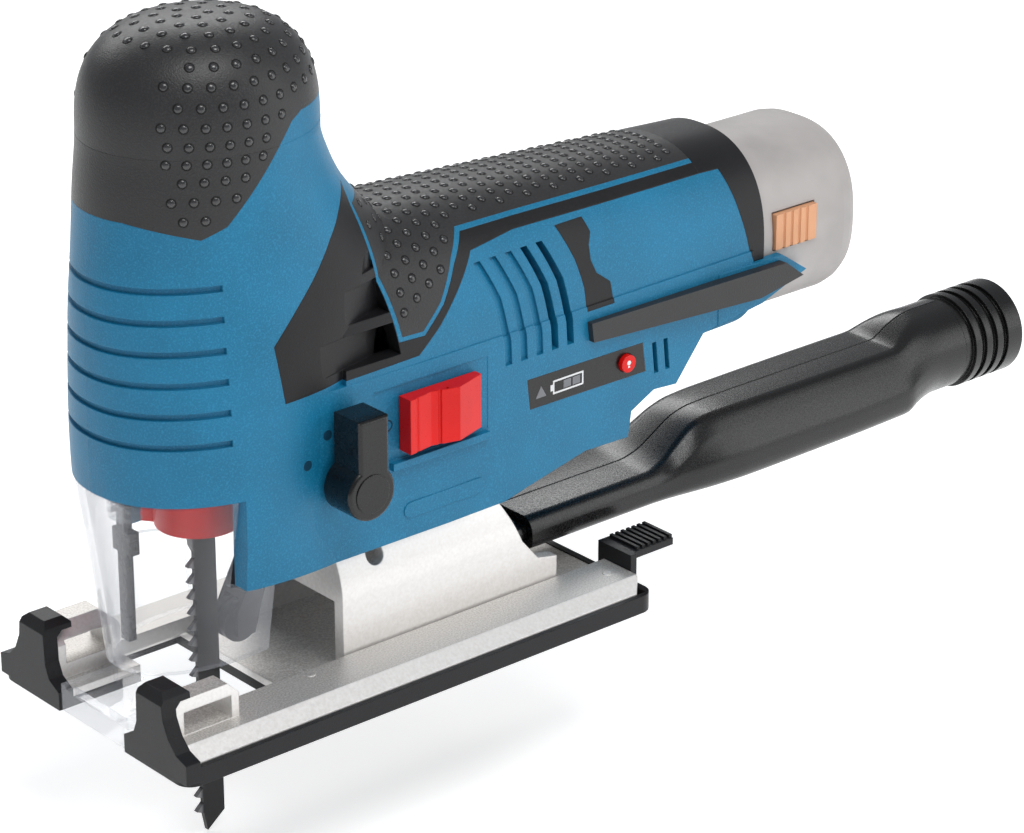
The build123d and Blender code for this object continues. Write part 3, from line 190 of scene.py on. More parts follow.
def noise_at(tree, size, detail=2.0, stretch=(1.0, 1.0, 1.0)):
    """Noise on Object coordinates whose features are about size metres across."""
    place = tree.nodes.new("ShaderNodeTexCoord")
    mapping = tree.nodes.new("ShaderNodeMapping")
    mapping.inputs["Scale"].default_value = stretch
    noise = tree.nodes.new("ShaderNodeTexNoise")
    noise.inputs["Scale"].default_value = 1.0 / size
    noise.inputs["Detail"].default_value = detail
    tree.links.new(place.outputs["Object"], mapping.inputs["Vector"])
    tree.links.new(mapping.outputs["Vector"], noise.inputs["Vector"])
    return noise.outputs["Fac"]


def spread(tree, source, low, high, into_low, into_high):
    """Carries source from the range low..high into the range into_low..into_high."""
    node = tree.nodes.new("ShaderNodeMapRange")
    node.inputs["From Min"].default_value = low
    node.inputs["From Max"].default_value = high
    node.inputs["To Min"].default_value = into_low
    node.inputs["To Max"].default_value = into_high
    tree.links.new(source, node.inputs["Value"])
    return node.outputs["Result"]


def mix_colours(tree, share, first, second):
    """Blends two colours, either of which may be a socket, by the share socket."""
    node = tree.nodes.new("ShaderNodeMix")
    node.data_type = "RGBA"
    for socket, value in ((node.inputs[6], first), (node.inputs[7], second)):
        if isinstance(value, tuple):
            socket.default_value = (*value, 1.0)
        else:
            tree.links.new(value, socket)
    tree.links.new(share, node.inputs[0])
    return node.outputs[2]


def rounded(tree, radius):
    """A normal that rounds every sharp edge over radius metres."""
    bevel = tree.nodes.new("ShaderNodeBevel")
    bevel.samples = 4
    bevel.inputs["Radius"].default_value = radius
    return bevel.outputs["Normal"]


def bump(tree, shader, height, depth, base=None):
    """Presses height, a 0-1 socket, depth metres into the surface, over the base normal."""
    node = tree.nodes.new("ShaderNodeBump")
    node.inputs["Strength"].default_value = 1.0
    node.inputs["Distance"].default_value = depth
    tree.links.new(height, node.inputs["Height"])
    if base is not None:
        tree.links.new(base, node.inputs["Normal"])
    tree.links.new(node.outputs["Normal"], shader.inputs["Normal"])


def edge_share(tree, normal):
    """1 where the rounded normal leaves the true one, which is along the edges, and 0 elsewhere."""
    geometry = tree.nodes.new("ShaderNodeNewGeometry")
    dot = tree.nodes.new("ShaderNodeVectorMath")
    dot.operation = "DOT_PRODUCT"
    tree.links.new(geometry.outputs["Normal"], dot.inputs[0])
    tree.links.new(normal, dot.inputs[1])
    return spread(tree, dot.outputs["Value"], 0.97, 0.80, 0.0, 1.0)


print("finish helpers: linear, new_finish, noise_at, spread, mix_colours, rounded, bump")

# %% [markdown]
# ## Moulded plastic and rubber
#
# Tool housings are moulded in spark-eroded steel, which leaves a fine even grain that breaks up the
# highlights. Rubber is softer and duller, with a coarser grain. Both are the same recipe: a slow
# noise that varies the colour a little, a fine noise for the grain, rounded edges, and a slightly
# paler colour along the edges, which is partly wear where hands rub them and partly a painted
# highlight where the rounded edges catch light. The peaks of the coarser grains catch a little more
# light, so they are given a paler speckle.


# %% Moulded plastic and rubber
def moulded(name, colour, roughness, grain, depth, edge=0.35 * MM, wear_and_sheen=0.35, shine=0.28,
            speckle=0.0):
    """Grained plastic or rubber. grain and depth are the size and the height of the grain."""
    material, tree, shader = new_finish(name, colour, roughness)
    shader.inputs["Specular IOR Level"].default_value = shine
    normal = rounded(tree, edge)
    slow = noise_at(tree, 14 * MM, 3.0)
    dark = tuple(c * 0.92 for c in colour)
    light = tuple(min(1.0, c * 1.10 + 0.001) for c in colour)
    body = mix_colours(tree, spread(tree, slow, GRAIN_LOW, GRAIN_HIGH, 0.0, 1.0), dark, light)
    # paler edge colour: partly wear, partly a painted highlight on the rounded edges
    rubbed_and_lit = tuple(min(1.0, c * 1.5 + 0.012) for c in colour)
    share = tree.nodes.new("ShaderNodeMath")
    share.operation = "MULTIPLY"
    share.inputs[1].default_value = wear_and_sheen
    tree.links.new(edge_share(tree, normal), share.inputs[0])
    fine = noise_at(tree, grain, 2.0)
    if speckle:
        glint = tuple(min(1.0, c * 1.55 + 0.02) for c in colour)
        body = mix_colours(tree, spread(tree, fine, 0.48, 0.72, 0.0, speckle), body, glint)
    tree.links.new(mix_colours(tree, share.outputs[0], body, rubbed_and_lit), shader.inputs["Base Color"])
    tree.links.new(spread(tree, fine, GRAIN_LOW, GRAIN_HIGH, roughness - 0.07, roughness + 0.07),
                   shader.inputs["Roughness"])
    bump(tree, shader, fine, depth, normal)
    return material


BLUE = linear(8, 108, 146)
RUBBER = linear(40, 40, 41)
BLACK = linear(23, 23, 25)
RED = linear(216, 12, 6)
PACK_GREY = linear(172, 168, 166)
ACCENT = linear(214, 158, 120)

blue_shell = moulded("blue_shell", BLUE, 0.44, 0.42 * MM, 0.10 * MM, shine=0.36, speckle=0.55)
grip_rubber = moulded("grip_rubber", RUBBER, 0.42, 0.40 * MM, 0.080 * MM, edge=0.06 * MM,
                      wear_and_sheen=0.0, shine=0.42, speckle=0.30)
dome_rubber = moulded("dome_rubber", linear(38, 38, 40), 0.22, 0.30 * MM, 0.010 * MM, wear_and_sheen=0.0,
                      shine=0.80)
# painted shadow: darker rubber for the flat disc under each dome, standing for the shadow round it
dome_shadow_rubber = moulded("dome_shadow_rubber", linear(20, 20, 21), 0.60, 0.30 * MM, 0.010 * MM, wear_and_sheen=0.0)
tube_black = moulded("tube_black", linear(15, 15, 16), 0.27, 0.40 * MM, 0.020 * MM, wear_and_sheen=0.12,
                     shine=0.45)
black_plastic = moulded("black_plastic", BLACK, 0.40, 0.34 * MM, 0.050 * MM, speckle=0.20)
gloss_black = moulded("gloss_black", linear(13, 13, 14), 0.26, 2.00 * MM, 0.002 * MM, wear_and_sheen=0.15,
                      shine=0.45)
red_plastic = moulded("red_plastic", RED, 0.34, 0.30 * MM, 0.020 * MM, wear_and_sheen=0.10)
pack_grey = moulded("pack_grey", PACK_GREY, 0.45, 0.28 * MM, 0.035 * MM)
pack_accent = moulded("pack_accent", ACCENT, 0.42, 0.28 * MM, 0.030 * MM)
moulded_names = [blue_shell, grip_rubber, dome_rubber, dome_shadow_rubber, tube_black, black_plastic,
                 gloss_black, red_plastic, pack_grey, pack_accent]
print("moulded finishes:", len(moulded_names))

# %% [markdown]
# ## Metals
#
# The plate is cast and blasted on its raised wings, so their tops are speckled and dull, while its
# ground flanks and the round bevel arch are bright. One material does both: it reads the direction
# of the surface and blends the two finishes. Turned and ground steel has fine streaks round or
# along the part. The blade is coated black, with bare metal where it is ground.


# %% Metals
def streaked(name, colour, roughness, stretch, edge=0.2 * MM):
    """Ground or turned metal whose streaks run along the axis with the smallest stretch."""
    material, tree, shader = new_finish(name, colour, roughness, metallic=1.0)
    streaks = noise_at(tree, 0.9 * MM, 4.0, stretch)
    tree.links.new(spread(tree, streaks, GRAIN_LOW, GRAIN_HIGH, roughness - 0.08, roughness + 0.10),
                   shader.inputs["Roughness"])
    bump(tree, shader, streaks, 0.006 * MM, rounded(tree, edge))
    return material


def masked(tree, share, first, second):
    """Blends two number sockets by a share socket."""
    node = tree.nodes.new("ShaderNodeMix")
    tree.links.new(share, node.inputs[0])
    for socket, value in ((node.inputs[2], first), (node.inputs[3], second)):
        if isinstance(value, float):
            socket.default_value = value
        else:
            tree.links.new(value, socket)
    return node.outputs[0]


def axis_of(tree, source, axis):
    """One coordinate of a vector socket."""
    split = tree.nodes.new("ShaderNodeSeparateXYZ")
    tree.links.new(source, split.inputs[0])
    return split.outputs[axis]


def plate_finish():
    """Bright metal whose upward faces are blasted and speckled."""
    material, tree, shader = new_finish("plate_metal", linear(226, 222, 218), 0.4, metallic=0.70)
    normal = rounded(tree, 0.45 * MM)
    geometry = tree.nodes.new("ShaderNodeNewGeometry")
    upward = spread(tree, axis_of(tree, geometry.outputs["Normal"], "Z"), 0.93, 0.99, 0.0, 1.0)
    speck = noise_at(tree, 0.42 * MM, 3.0)
    coarse = noise_at(tree, 0.8 * MM, 2.0)
    blasted = mix_colours(tree, spread(tree, speck, 0.35, 0.65, 0.0, 1.0),
                          linear(196, 191, 186), linear(232, 229, 225))
    ground = mix_colours(tree, spread(tree, coarse, GRAIN_LOW, GRAIN_HIGH, 0.0, 1.0),
                         linear(232, 229, 226), linear(242, 240, 238))
    tree.links.new(mix_colours(tree, upward, ground, blasted), shader.inputs["Base Color"])
    roughness = masked(tree, upward, spread(tree, coarse, GRAIN_LOW, GRAIN_HIGH, 0.34, 0.42),
                       spread(tree, speck, GRAIN_LOW, GRAIN_HIGH, 0.42, 0.62))
    tree.links.new(roughness, shader.inputs["Roughness"])
    bump(tree, shader, masked(tree, upward, 0.5, speck), 0.035 * MM, normal)
    return material


def blade_finish():
    """Dark coated steel, bare along the ground teeth at the front edge."""
    material, tree, shader = new_finish("blade_steel", linear(34, 34, 36), 0.35, metallic=0.3)
    low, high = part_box("saw_blade")
    place = tree.nodes.new("ShaderNodeTexCoord")
    along = axis_of(tree, place.outputs["Object"], "X")
    bare = spread(tree, along, low.x + 1.2 * MM, low.x + 2.0 * MM, 1.0, 0.0)
    coat = mix_colours(tree, noise_at(tree, 3 * MM, 3.0), linear(13, 13, 15), linear(26, 26, 29))
    tree.links.new(mix_colours(tree, bare, coat, linear(120, 120, 122)), shader.inputs["Base Color"])
    scratches = noise_at(tree, 0.7 * MM, 3.0, (1.0, 1.0, 0.15))
    roughness = spread(tree, scratches, GRAIN_LOW, GRAIN_HIGH, 0.28, 0.46)
    tree.links.new(roughness, shader.inputs["Roughness"])
    bump(tree, shader, scratches, 0.01 * MM)
    return material


plate_metal = plate_finish()
blade_steel = blade_finish()
turned_steel = streaked("turned_steel", linear(186, 186, 188), 0.30, (1.0, 1.0, 0.2))
dark_steel = streaked("dark_steel", linear(52, 52, 56), 0.36, (1.0, 1.0, 0.4))
case_alloy = streaked("case_alloy", linear(170, 170, 172), 0.45, (1.0, 1.0, 1.0))
bronze = streaked("bronze", linear(186, 142, 86), 0.36, (1.0, 1.0, 0.3))
copper = streaked("copper", linear(190, 118, 74), 0.34, (0.3, 1.0, 1.0))
print("metal finishes:", ", ".join(m.name for m in (plate_metal, blade_steel, turned_steel,
                                                   dark_steel, case_alloy, bronze, copper)))

# %% [markdown]
# ## Clear plastic
#
# The guard and the front insert are injection-moulded polycarbonate, a thin wall that lets nearly
# all light straight through. Refraction in so thin a wall hardly moves what is behind it, so plain
# transparency shows the blade more truly and renders faster. What makes clear plastic visible is its
# edges and its shine: seen edge on the wall turns milky, and broad reflections lie on it. A Layer
# Weight node gives the first, and a smooth coat gives the second.


# %% Clear plastic
def clear_finish(name, tint, roughness, straight, edge_on):
    """Clear moulding, opaque by straight where it is faced and by edge_on along its rims."""
    material, tree, shader = new_finish(name, tint, roughness, coat=1.0)
    shader.inputs["Coat Roughness"].default_value = roughness
    shader.inputs["IOR"].default_value = 1.5
    weight = tree.nodes.new("ShaderNodeLayerWeight")
    weight.inputs["Blend"].default_value = 0.35
    tree.links.new(spread(tree, weight.outputs["Facing"], 0.15, 0.95, straight, edge_on),
                   shader.inputs["Alpha"])
    scratches = noise_at(tree, 1.6 * MM, 4.0, (1.0, 1.0, 0.3))
    tree.links.new(spread(tree, scratches, 0.6, 0.8, roughness, roughness + 0.06),
                   shader.inputs["Roughness"])
    bump(tree, shader, noise_at(tree, 9 * MM, 1.0), 0.04 * MM, rounded(tree, 0.5 * MM))
    return material


clear_plastic = clear_finish("clear_plastic", linear(214, 216, 222), 0.04, 0.045, 0.72)
lamp_lens = clear_finish("lamp_lens", linear(236, 236, 232), 0.10, 0.55, 0.9)
print("clear finishes:", 2)

# %% [markdown]
# ## Finishes on the CAD parts
#
# Each CAD node takes one of those finishes. Its shape is left exactly as it is.

# %% Finishes on the CAD parts
FINISH_OF = {
    blue_shell: ["housing_left", "housing_right"],
    grip_rubber: ["head_grip", "barrel_grip", "bumper_rails"],
    black_plastic: ["rear_collar", "side_trim_left", "side_trim_right", "vent_trims",
                    "switch_module", "glide_shoe", "cooling_fan", "motor_end_cap",
                    "terminal_block", "carbon_brushes"],
    tube_black: ["tube_left", "tube_right", "hose_cuff"],
    gloss_black: ["control_panel", "orbit_selector", "finger_bar"],
    red_plastic: ["slide_switch", "light_button", "clamp_ring"],
    pack_grey: ["battery_case"],
    pack_accent: ["latch_left", "latch_right"],
    plate_metal: ["base_plate"],
    blade_steel: ["saw_blade"],
    turned_steel: ["housing_screws", "bevel_bolt", "saddle_washer", "bevel_nut", "crank_gear",
                   "crank_pin", "crank_roller", "crank_arbor", "pinion", "push_rod", "yoke",
                   "blade_holder", "rotor_shaft", "front_bearing", "rear_bearing"],
    dark_steel: ["guide_roller", "roller_arm", "arm_bracket", "motor_magnets", "battery_cells"],
    case_alloy: ["gear_case", "motor_can"],
    bronze: ["lower_bush", "upper_bush"],
    copper: ["armature", "commutator", "contact_blades"],
    clear_plastic: ["blade_guard", "splinter_guard"],
    lamp_lens: ["work_lamp"],
}
board_green = moulded("board_green", linear(24, 92, 54), 0.35, 0.5 * MM, 0.01 * MM)
FINISH_OF[board_green] = ["circuit_board"]


def paint(piece, material):
    """Gives a piece one material."""
    piece.data.materials.clear()
    piece.data.materials.append(material)


for material, names in FINISH_OF.items():
    for name in names:
        paint(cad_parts[name], material)
painted = sum(len(names) for names in FINISH_OF.values())
print("painted", painted, "of", len(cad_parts), "CAD nodes")

# %% [markdown]
# ## From a mesh to a piece
#
# Every extra piece is made the same way: its mesh is built where it belongs, its object stays at the
# origin, and it is told which CAD body it rides on. One helper does that for all of them.


# %% From a mesh to a piece
def piece_of(name, mesh, body):
    """Links a mesh as an object that rides on a body. Returns the object."""
    piece = bpy.data.objects.new(name, mesh)
    bpy.context.scene.collection.objects.link(piece)
    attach(piece, body)
    return piece


def mesh_of(name, shape):
    """Turns a bmesh into a mesh and frees it."""
    mesh = bpy.data.meshes.new(name)
    shape.to_mesh(mesh)
    shape.free()
    return mesh


print("piece helpers: piece_of, mesh_of")

# %% [markdown]
# ## Dust tube
#
# The tube is moulded in two halves that meet on the centre line. It starts as a low flat box, climbs
# in an S-shaped ramp to a wider flat top and ends round, where the hose cuff is pushed on. A lofted
# CAD tube shows flats between its stations. Here the same stations are read as smooth curves along
# the tube, and each section's corners are cut off, finely where the tube is boxed and broadly where
# it is round, which leaves soft edges without growing the form. Each half is one closed wall with a
# small chamfer along the parting line.

# %% Dust tube
# along the tube: place, top, half width of the flat top, half width, bottom, share of roundness
TUBE_STATIONS = [
    (42.0, 21.0, 10.6, 13.0, 11.5, 0.0), (82.0, 21.0, 10.6, 13.0, 11.5, 0.0),
    (88.0, 22.2, 9.6, 13.3, 11.5, 0.0), (94.0, 25.4, 8.4, 14.0, 11.5, 0.0),
    (100.0, 28.6, 7.8, 14.8, 11.5, 0.0), (106.0, 29.8, 8.0, 15.4, 11.5, 0.0),
    (114.0, 30.0, 8.4, 15.8, 11.5, 0.0), (150.0, 30.0, 8.8, 15.9, 11.8, 0.0),
    (172.0, 30.0, 8.8, 15.4, 12.0, 0.0), (178.0, 31.6, 8.0, 14.8, 12.0, 0.35),
    (184.0, 33.6, 7.0, 14.0, 12.0, 0.75), (190.0, 34.9, 6.0, 13.0, 12.0, 1.0),
    (197.0, 34.9, 6.0, 13.0, 12.0, 1.0)]
LOW_TOP = 21.0
HIGH_TOP = 30.0
ROUND_R = 12.4
ROUND_Z = 22.5
TUBE_WALL = 1.8
PARTING = 0.10           # half of the gap between the two halves
PLUG_X = 24.0            # front end of the plug that enters the arch
PLUG_INSET = 2.0
TUBE_STEP = 2.0
GROOVE = 0.22            # how deep the parting line is on top
SOFT_EDGE = 0.9          # length cut off each side of a boxed corner
FINER_EDGE = 0.25        # the same for the second cut
CREASE = math.radians(38)


def smooth_value(knots, values, x):
    """A curve through the values that never overshoots them."""
    slopes = [(values[i + 1] - values[i]) / (knots[i + 1] - knots[i])
              for i in range(len(knots) - 1)]
    turns = [0.0]
    for before, after in zip(slopes, slopes[1:]):
        turns.append(2 * before * after / (before + after) if before * after > 0 else 0.0)
    turns.append(0.0)
    i = max(k for k in range(len(knots) - 1) if knots[k] <= x or k == 0)
    width = knots[i + 1] - knots[i]
    t = (x - knots[i]) / width
    return ((2 * t ** 3 - 3 * t ** 2 + 1) * values[i] + (t ** 3 - 2 * t ** 2 + t) * width * turns[i]
            + (3 * t ** 2 - 2 * t ** 3) * values[i + 1] + (t ** 3 - t ** 2) * width * turns[i + 1])


def cut_corners(points, fine, roundness):
    """Each corner of an open line cut off: by a length where boxed, by a quarter where round."""
    out = [points[0]]
    for (a, b), (c, d) in zip(points, points[1:]):
        length = max(math.hypot(c - a, d - b), 1e-6)
        share = min(0.25, fine / length) * (1 - roundness) + 0.25 * roundness
        out.append((a + (c - a) * share, b + (d - b) * share))
        out.append((c + (a - c) * share, d + (b - d) * share))
    return out + [points[-1]]


def tube_outline(x, inset):
    """Half of the section at x, as (y, z) from the top of the parting line to the bottom."""
    knots = [station[0] for station in TUBE_STATIONS]
    top, flat, wide, bottom, roundness = [
        smooth_value(knots, [station[k] for station in TUBE_STATIONS], x) for k in range(1, 6)]
    lift = max(0.0, min(1.0, (top - LOW_TOP) / (HIGH_TOP - LOW_TOP)))
    edge = flat + 1.6
    boxed = [(0.0, top), (flat, top), (edge, top - 1.4),
             (wide + (edge - wide) / 2 * lift, top - 3.2 - 1.8 * lift), (wide, 16.4 + 3.6 * lift),
             (wide, 14.0 + 1.5 * lift), (wide - 1.0, bottom + 1.4), (wide - 3.4, bottom),
             (0.0, bottom)]
    half = []
    for i, (y, z) in enumerate(boxed):
        angle = math.pi / 2 - math.pi * i / (len(boxed) - 1)
        y += (ROUND_R * math.cos(angle) - y) * roundness
        z += (ROUND_Z + ROUND_R * math.sin(angle) - z) * roundness
        middle = (bottom + top) / 2
        half.append((y * (1 - inset / wide),
                     middle + (z - middle) * (1 - 2 * inset / (top - bottom))))
    return cut_corners(cut_corners(half, SOFT_EDGE, roundness), FINER_EDGE, roundness)


def tube_half(name, side, node):
    """One half of the tube as a closed wall, on side -1 (left) or +1 (right)."""
    first, last = TUBE_STATIONS[0][0], TUBE_STATIONS[-1][0]
    count = round((last - first) / TUBE_STEP)
    rings = [(PLUG_X, first, PLUG_INSET), (first, first, PLUG_INSET)]
    rings += [(first + (last - first) * i / count, None, 0.0) for i in range(count + 1)]
    shape = bmesh.new()
    loops = []
    for x, shape_at, inset in rings:
        place = x if shape_at is None else shape_at
        outside = tube_outline(place, inset)
        inside = tube_outline(place, inset + TUBE_WALL)
        outside[0] = (0.0, outside[0][1] - GROOVE)
        loop = [(max(y, PARTING), z) for y, z in outside]
        loop += [(max(y, PARTING), z) for y, z in reversed(inside)]
        loops.append([shape.verts.new((x * MM, side * y * MM, z * MM)) for y, z in loop])
    size = len(loops[0])
    for low, high in zip(loops, loops[1:]):
        for i in range(size):
            j = (i + 1) % size
            shape.faces.new([low[i], low[j], high[j], high[i]])
    for loop in (loops[0], loops[-1]):
        for i in range(size // 2 - 1):
            shape.faces.new([loop[i], loop[i + 1], loop[size - 2 - i], loop[size - 1 - i]])
    bmesh.ops.recalc_face_normals(shape, faces=shape.faces)
    for face in shape.faces:
        face.smooth = True
    mesh = mesh_of(name, shape)
    mesh.set_sharp_from_angle(angle=CREASE)
    piece = piece_of(name, mesh, "dust_tube")
    paint(piece, tube_black)
    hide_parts(node)
    print(name, "faces:", len(mesh.polygons))


tube_half("tube_half_left", -1, "tube_left")
tube_half("tube_half_right", 1, "tube_right")

# %% [markdown]
# ## Laying thin marks on a curved skin
#
# The inlays on the panel and the marks in the blue shell are thin shapes that follow the surface
# under them. A flat outline is drawn in front of the part, each of its points is dropped onto the
# part along one axis, and the shape is given a little thickness there. Dropping the points keeps a
# mark tight to the skin without measuring the skin first.


# %% Laying thin marks on a curved skin
def skin_of(node):
    """A search tree over a CAD node's triangles."""
    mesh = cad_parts[node].data
    return BVHTree.FromPolygons([v.co for v in mesh.vertices],
                                [p.vertices for p in mesh.polygons])


FROM_SIDE = Vector((0, 1, 0))
FROM_TOP = Vector((0, 0, -1))
FAR = 0.2
SUNK = 0.25 * MM


def drop(skin, point, along):
    """Where a point falls onto the skin, moving along a unit direction from far away."""
    place = skin.ray_cast(point - along * FAR, along)[0]
    if place is None:
        raise ValueError(f"nothing under {tuple(point)}")
    return place


def plate_of(outline, skin, along, proud):
    """A thin closed plate: outline dropped on the skin, proud above it and sunk into it."""
    shape = bmesh.new()
    seats = [drop(skin, Vector(p), along) for p in outline]
    top = [shape.verts.new(s - along * proud) for s in seats]
    low = [shape.verts.new(s + along * SUNK) for s in seats]
    shape.faces.new(top)
    shape.faces.new(list(reversed(low)))
    for i in range(len(top)):
        j = (i + 1) % len(top)
        shape.faces.new([top[j], top[i], low[i], low[j]])
    bmesh.ops.recalc_face_normals(shape, faces=shape.faces)
    return shape


def marks(name, outlines, node, along, proud, material, body):
    """One piece made of several thin plates on one CAD node."""
    skin = skin_of(node)
    whole = bmesh.new()
    for outline in outlines:
        part_mesh = mesh_of("part", plate_of(outline, skin, along, proud))
        whole.from_mesh(part_mesh)
        bpy.data.meshes.remove(part_mesh)
    paint(piece_of(name, mesh_of(name, whole), body), material)
    print(name, "plates:", len(outlines))


def side_box(x0, x1, z0, z1):
    """A rectangle in the side view."""
    return [(x0, 0, z0), (x1, 0, z0), (x1, 0, z1), (x0, 0, z1)]


def side_disc(x, z, radius, count=24):
    """A circle in the side view."""
    turns = [2 * math.pi * i / count for i in range(count)]
    return [(x + radius * math.cos(t), 0, z + radius * math.sin(t)) for t in turns]


def side_frame(x0, x1, z0, z1, line):
    """Four bars round a rectangle, as for a drawn outline."""
    return [side_box(x0, x1, z1 - line, z1), side_box(x0, x1, z0, z0 + line),
            side_box(x0, x0 + line, z0 + line, z1 - line),
            side_box(x1 - line, x1, z0 + line, z1 - line)]


print("outlines: side_box, side_disc, side_frame")

# %% [markdown]
# ## Control panel inlays
#
# The panel says how full the battery is. A printed outline of a battery holds two grey bars, a small
# triangle warns, and the red button beside it lights the work. Their places are shares of the
# panel's own box, so they stay on the panel if it is moved.

# %% Control panel inlays
print_white = moulded("print_white", linear(226, 228, 230), 0.45, 0.4 * MM, 0.004 * MM)
print_grey = moulded("print_grey", linear(120, 122, 126), 0.45, 0.4 * MM, 0.004 * MM)

panel_low, panel_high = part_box("control_panel")
panel_z = (panel_low.z + panel_high.z) / 2
gauge_x0 = panel_low.x + 8.2 * MM
gauge_x1 = gauge_x0 + 9.8 * MM
gauge_half = 1.75 * MM
INK = 0.06 * MM
LINE = 0.45 * MM

gauge = side_frame(gauge_x0, gauge_x1, panel_z - gauge_half, panel_z + gauge_half, LINE)
gauge.append(side_box(gauge_x0 - 0.8 * MM, gauge_x0, panel_z - 0.8 * MM, panel_z + 0.8 * MM))
marks("battery_outline", gauge, "control_panel", FROM_SIDE, INK, print_white, "housing")

bars = []
for i in range(2):
    x = gauge_x0 + 3.4 * MM + i * 2.9 * MM
    bars.append(side_box(x, x + 2.4 * MM, panel_z - 1.0 * MM, panel_z + 1.0 * MM))
marks("battery_bars", bars, "control_panel", FROM_SIDE, INK, print_grey, "housing")

sign_x = panel_low.x + 4.4 * MM
triangle = [(sign_x - 1.7 * MM, 0, panel_z - 1.4 * MM), (sign_x + 1.7 * MM, 0, panel_z - 1.4 * MM),
            (sign_x, 0, panel_z + 1.5 * MM)]
marks("warning_triangle", [triangle], "control_panel", FROM_SIDE, INK, print_grey, "housing")

button_low, button_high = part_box("light_button")
button_x = (button_low.x + button_high.x) / 2
button_z = (button_low.z + button_high.z) / 2
bulb = [side_disc(button_x, button_z + 0.25 * MM, 0.62 * MM, 16),
        side_box(button_x - 0.32 * MM, button_x + 0.32 * MM, button_z - 1.0 * MM,
                 button_z - 0.5 * MM)]
marks("bulb_sign", bulb, "light_button", FROM_SIDE, INK, print_white, "light_button")

# %% [markdown]
# ## Marks moulded in the blue shell
#
# Beside the orbit lever two dimples in the skin show its end positions, and its round end carries a
# flat disc. A ring marks the off side of the switch, a ledge below keeps the thumb on it, and a long
# plain pill lies lower down. The dimples and the ring are drawn as thin marks of a darker blue, a
# painted shade for the shade inside these hollows, because a mark laid on a skin can't reach below
# it.

# %% Marks moulded in the blue shell
# painted shade: this darker blue stands for the shade inside the dimples and the ring
recess_shade_blue = moulded("recess_shade_blue", linear(6, 58, 82), 0.50, 0.30 * MM, 0.020 * MM, wear_and_sheen=0.0)
lever_low, lever_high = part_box("orbit_selector")
lever_x = (lever_low.x + lever_high.x) / 2
lever_z = lever_low.z + (lever_high.x - lever_low.x) / 2
dimples = []
for dx, dz in ((-3.7, 11.7), (-9.8, 6.1)):
    dimples.append(side_disc(lever_x + dx * MM, lever_z + dz * MM, 1.25 * MM, 20))
marks("lever_dimples", dimples, "housing_left", FROM_SIDE, 0.03 * MM, recess_shade_blue, "housing")
marks("lever_disc", [side_disc(lever_x, lever_z, 4.7 * MM, 32)], "orbit_selector", FROM_SIDE,
      0.22 * MM, gloss_black, "orbit_selector")


def side_ring(x, z, radius, line, count=24):
    """A circle line in the side view, as short bars."""
    bars = []
    for i in range(count):
        corners = []
        for k, r in ((i, radius), (i + 1, radius), (i + 1, radius - line), (i, radius - line)):
            t = 2 * math.pi * k / count
            corners.append((x + r * math.cos(t), 0, z + r * math.sin(t)))
        bars.append(corners)
    return bars


switch_low, switch_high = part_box("slide_switch")
switch_z = (switch_low.z + switch_high.z) / 2
marks("off_ring", side_ring(switch_low.x - 3.2 * MM, switch_z, 1.5 * MM, 0.4 * MM),
      "housing_left", FROM_SIDE, 0.03 * MM, recess_shade_blue, "housing")
marks("switch_ledge", [side_box(switch_low.x - 3.0 * MM, switch_high.x + 3.5 * MM,
                                switch_low.z - 4.2 * MM, switch_low.z - 2.4 * MM)],
      "housing_left", FROM_SIDE, 1.5 * MM, blue_shell, "housing")


def pill(x0, x1, z, radius, count=10):
    """A bar with round ends in the side view, lying along X."""
    points = []
    for centre, start in ((x1 - radius, -90), (x0 + radius, 90)):
        for i in range(count + 1):
            t = math.radians(start + 180 * i / count)
            points.append((centre + radius * math.cos(t), 0, z + radius * math.sin(t)))
    return points


marks("grade_pill", [pill(-9.0 * MM, 15.5 * MM, 43.2 * MM, 2.0 * MM)], "housing_left", FROM_SIDE,
      0.22 * MM, blue_shell, "housing")

# %% [markdown]
# ## Clip on the clear guard
#
# A small clear clip on the inside of the guard holds it to the dark finger bar. It is a frame round
# the bar with two thin ribs on each side, in the guard's own plastic, whose finish rounds the edges.
# It takes its place from the bar's box, so it stays round the bar, and it rides on the guard.

# %% Clip on the clear guard
CLIP_WALL = 0.8 * MM
CLIP_GAP = 0.5 * MM
CLIP_LOW = 50.2 * MM
CLIP_HIGH = 54.6 * MM
BAR_HALF = 1.6 * MM      # half the width of the bar's upper part


def box_into(shape, low, high):
    """Adds a box between two corners to a bmesh."""
    size = [b - a for a, b in zip(low, high)]
    middle = [(a + b) / 2 for a, b in zip(low, high)]
    place = Matrix.Translation(middle) @ Matrix.Diagonal((*size, 1.0))
    bmesh.ops.create_cube(shape, size=1.0, matrix=place)


bar_low, bar_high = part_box("finger_bar")
x0, x1 = bar_low.x - CLIP_GAP, bar_high.x + CLIP_GAP
y0, y1 = -BAR_HALF - CLIP_GAP, BAR_HALF + CLIP_GAP
clip_shape = bmesh.new()
for low_x, high_x, low_y, high_y in ((x0 - CLIP_WALL, x0, y0 - CLIP_WALL, y1 + CLIP_WALL),
                                     (x1, x1 + CLIP_WALL, y0 - CLIP_WALL, y1 + CLIP_WALL),
                                     (x0, x1, y0 - CLIP_WALL, y0), (x0, x1, y1, y1 + CLIP_WALL)):
    box_into(clip_shape, (low_x, low_y, CLIP_LOW), (high_x, high_y, CLIP_HIGH))
for z in (CLIP_LOW + CLIP_WALL, CLIP_HIGH - 2 * CLIP_WALL):
    for rib_y, end_y in ((y0 - 3 * CLIP_WALL, y0 - CLIP_WALL), (y1 + CLIP_WALL, y1 + 3 * CLIP_WALL)):
        box_into(clip_shape, (x0, rib_y, z), (x1, end_y, z + CLIP_WALL))
paint(piece_of("guard_clip", mesh_of("guard_clip", clip_shape), "guard"),
      clear_plastic)
print("guard clip from", [round(v / MM, 1) for v in (x0, y0, CLIP_LOW)], "to",
      [round(v / MM, 1) for v in (x1, y1, CLIP_HIGH)], "mm inside")
